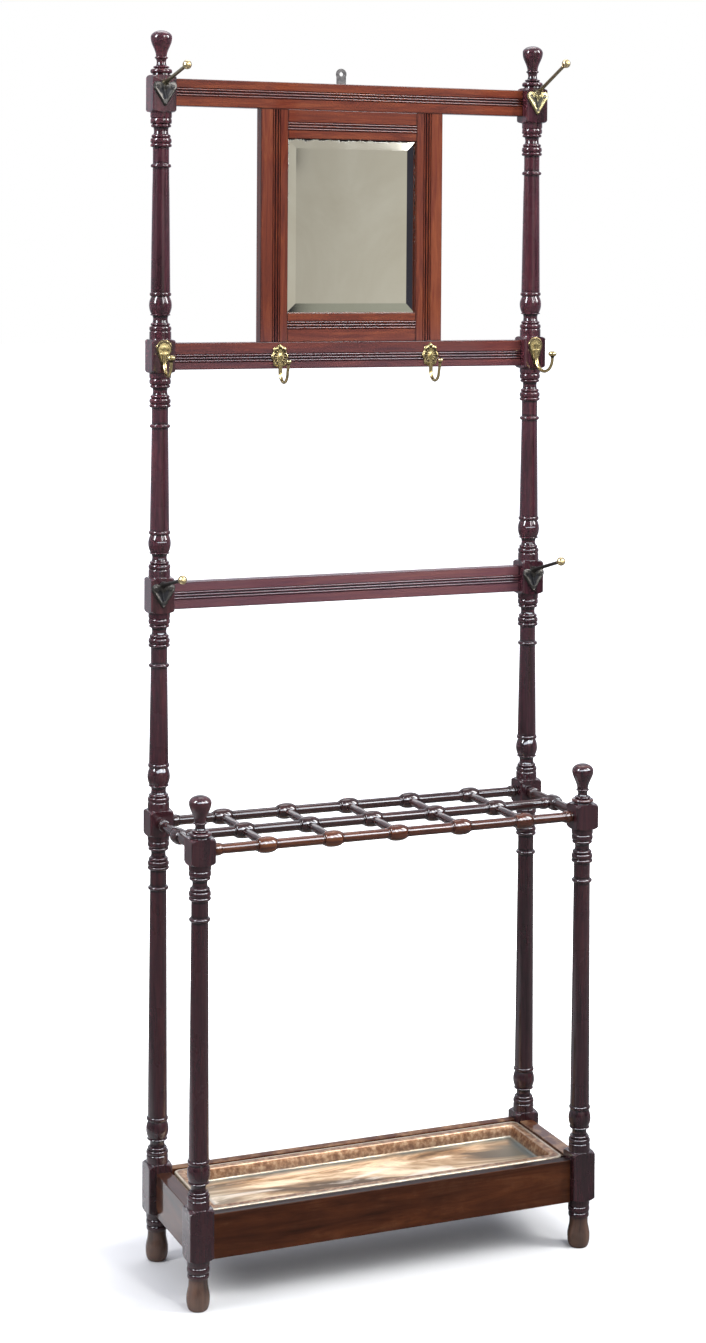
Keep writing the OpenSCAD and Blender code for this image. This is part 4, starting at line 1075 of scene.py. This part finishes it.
def stage_floor():
    """Plain white where the camera sees it direct, but for its shadow. What it sends back at the
    stand is dimmer, most of it from behind on the left and from far off."""
    mesh = bpy.data.meshes.new("floor")
    reach = 40.0
    mesh.from_pydata([(-reach, -reach, 0), (reach, -reach, 0), (reach, reach, 0),
                      (-reach, reach, 0)], [], [(0, 1, 2, 3)])
    floor = bpy.data.objects.new("floor", mesh)
    scene.collection.objects.link(floor)
    s = Shader("pale_floor")
    here = s("TexCoord").outputs["Object"]
    far = s("VectorMath", {0: here}, operation="LENGTH").outputs["Value"]
    glow = s.step(far, 0.3, 1.1, 0.0, 1.0)
    body = s("BsdfPrincipled", {"Base Color": (0.8, 0.8, 0.8, 1), "Roughness": 0.8,
                                "Emission Color": (1, 1, 1, 1), "Emission Strength": glow})
    body.inputs["Specular IOR Level"].default_value = 0.0
    aside = s("VectorMath", {0: here, 1: (-0.7, 0.35, 0)}, operation="DISTANCE").outputs["Value"]
    pale = s.plus(s.step(aside, 0.35, 0.95, 0.62, 0.2), s.step(far, 3.5, 8, 0.0, 0.55))
    bounce = s("BsdfDiffuse", {0: s("CombineColor", {0: pale, 1: pale, 2: pale}).outputs[0]})
    pick = s("MixShader", {0: s("LightPath").outputs["Is Camera Ray"], 1: bounce.outputs[0],
                           2: body.outputs[0]})
    s.put(s("OutputMaterial").inputs[0], pick.outputs[0])
    mesh.materials.append(s.material)


def softbox(name, azimuth, elevation, distance, size, radiance, aim=(0, 0, 1.0), glint=False):
    """A soft light at azimuth (0 in front, 90 on the right), seen only in what it lights.
    With glint it is cool and shows in polish alone."""
    data = bpy.data.lights.new(name, "AREA")
    data.shape = "RECTANGLE"
    data.size, data.size_y = size
    data.energy = radiance * size[0] * size[1] * pi
    lamp = bpy.data.objects.new(name, data)
    a, e = radians(azimuth), radians(elevation)
    back = Vector((sin(a) * cos(e), -cos(a) * cos(e), sin(e)))
    lamp.location = Vector(aim) + back * distance
    lamp.rotation_mode = "QUATERNION"
    lamp.rotation_quaternion = back.to_track_quat("Z", "Y")
    lamp.visible_camera = False
    if glint:
        data.color = (0.82, 0.9, 1.0)
        lamp.visible_diffuse = False
    scene.collection.objects.link(lamp)
    return lamp


def light_only(lamp, ending):
    """Let a lamp light only the pieces whose names have this ending."""
    lit = bpy.data.collections.new(lamp.name + "_on")
    for piece in scene.objects:
        if piece.name.endswith(ending):
            lit.objects.link(piece)
    lamp.light_linking.receiver_collection = lit


def studio_world():
    """Pale behind and above, dim in front, plain white where it is seen direct."""
    world = bpy.data.worlds.new("studio")
    scene.world = world
    world.use_nodes = True
    s = Shader("studio_build")
    bpy.data.materials.remove(s.material)
    s.material, s.tree = None, world.node_tree
    s.tree.nodes.clear()
    way = s("SeparateXYZ", {0: s("TexCoord").outputs["Generated"]})
    front = s.step(way.outputs[1], -0.45, 0.35, 0.14, 0.55)
    up = s.step(way.outputs[2], 0.1, 0.8, 0.0, 0.45)
    light = s("Background", {0: (0.85, 0.88, 1.0, 1), 1: s.plus(front, up)})
    seen = s("Background", {0: (1, 1, 1, 1), 1: 1.0})
    pick = s("MixShader", {0: s("LightPath").outputs["Is Camera Ray"], 1: light.outputs[0],
                           2: seen.outputs[0]})
    s.put(s("OutputWorld").inputs[0], pick.outputs[0])


def stage_card(name, low, high, colour, strength):
    """A glowing card in front of the stand that only reflections see."""
    mesh = bpy.data.meshes.new(name)
    (x0, y0, z0), (x1, y1, z1) = low, high
    mesh.from_pydata([(x0, y0, z0), (x1, y1, z0), (x1, y1, z1), (x0, y0, z1)], [], [(0, 1, 2, 3)])
    card = bpy.data.objects.new(name, mesh)
    scene.collection.objects.link(card)
    s = Shader(name)
    here = s("SeparateXYZ", {0: s("TexCoord").outputs["Object"]}).outputs
    more_right = s.step(here[0], 1.5, 2.25, 0.88, 1.14)
    more_left = s.step(here[0], 1.0, 1.4, 0.18, 0.0)
    less_high = s.step(here[2], 1.5, 2.15, 0.0, 0.08)
    fade = s.plus(s.math("SUBTRACT", more_right, less_high), more_left)
    glow = s("Emission", {0: (*colour, 1), 1: s.times(fade, strength)})
    s.put(s("OutputMaterial").inputs[0], glow.outputs[0])
    mesh.materials.append(s.material)
    card.visible_camera = False
    card.visible_diffuse = False
    card.visible_shadow = False


def make_camera():
    data = bpy.data.cameras.new("camera")
    data.sensor_width, data.lens, data.shift_y = 36.0, 65.83, -0.25
    camera = bpy.data.objects.new("camera", data)
    yaw, pitch, roll = (radians(v) for v in (22.640, 1.9, 0.367))
    ahead = Vector((sin(yaw) * cos(pitch), cos(yaw) * cos(pitch),
                    -sin(pitch)))
    right = Vector((cos(yaw), -sin(yaw), 0))
    up = right.cross(ahead)
    right, up = (right * cos(roll) + up * sin(roll),
                 up * cos(roll) - right * sin(roll))
    turn = Matrix((right, up, -ahead)).transposed()
    camera.matrix_world = Matrix.Translation((-1.6142, -3.7730, 1.6875)) @ turn.to_4x4()
    scene.collection.objects.link(camera)
    scene.camera = camera


stage_floor()
studio_world()
softbox("left_light", -84, 35, 4.0, (0.95, 2.3), 12)
softbox("front_light", 8, 35, 4.1, (0.6, 2.3), 15)
softbox("reed_light", 29, 37, 4.1, (0.3, 2.0), 15)
softbox("right_light", 58, 35, 4.0, (0.9, 2.3), 24)
softbox("left_glint", -78, 35, 4.0, (0.5, 2.3), 45, glint=True)
softbox("front_glint", 8, 35, 4.1, (0.4, 2.3), 60, glint=True)
softbox("right_glint", 58, 35, 4.0, (0.5, 2.3), 60, glint=True)
reed_glint = softbox("reed_glint", 22, 37, 4.1, (2.6, 1.4), 22, glint=True)
light_only(reed_glint, "_reeded")
low_glint = softbox("low_glint", 0, 90, 1.32, (2.6, 0.7), 16, (0.15, -0.95, 0), glint=True)
light_only(low_glint, "_turned")
softbox("top_light", 160, 68, 3.6, (2.2, 1.4), 3)
softbox("back_light", 166, 20, 4.4, (3.6, 0.8), 1.3, (0, 0, 0.8))
stage_card("card_beige", (-0.6, -4.6, 1.15), (2.35, -4.3, 3.2), (0.62, 0.59, 0.52), 0.98)
stage_card("card_navy", (2.36, -4.3, 0.4), (4.2, -3.4, 3.2), (0.045, 0.043, 0.06), 1.0)
stage_card("card_green", (-0.6, -4.6, 0.2), (2.35, -4.3, 1.14), (0.42, 0.425, 0.365), 0.95)
stage_card("card_dark_high", (1.49, -4.2, 1.99), (1.575, -4.2, 2.3), (0.02, 0.02, 0.03), 1.0)
stage_card("card_dark_low", (1.4, -4.2, 0.45), (1.63, -4.2, 1.1), (0.02, 0.02, 0.03), 1.0)
make_camera()

scene.view_settings.view_transform = "Standard"
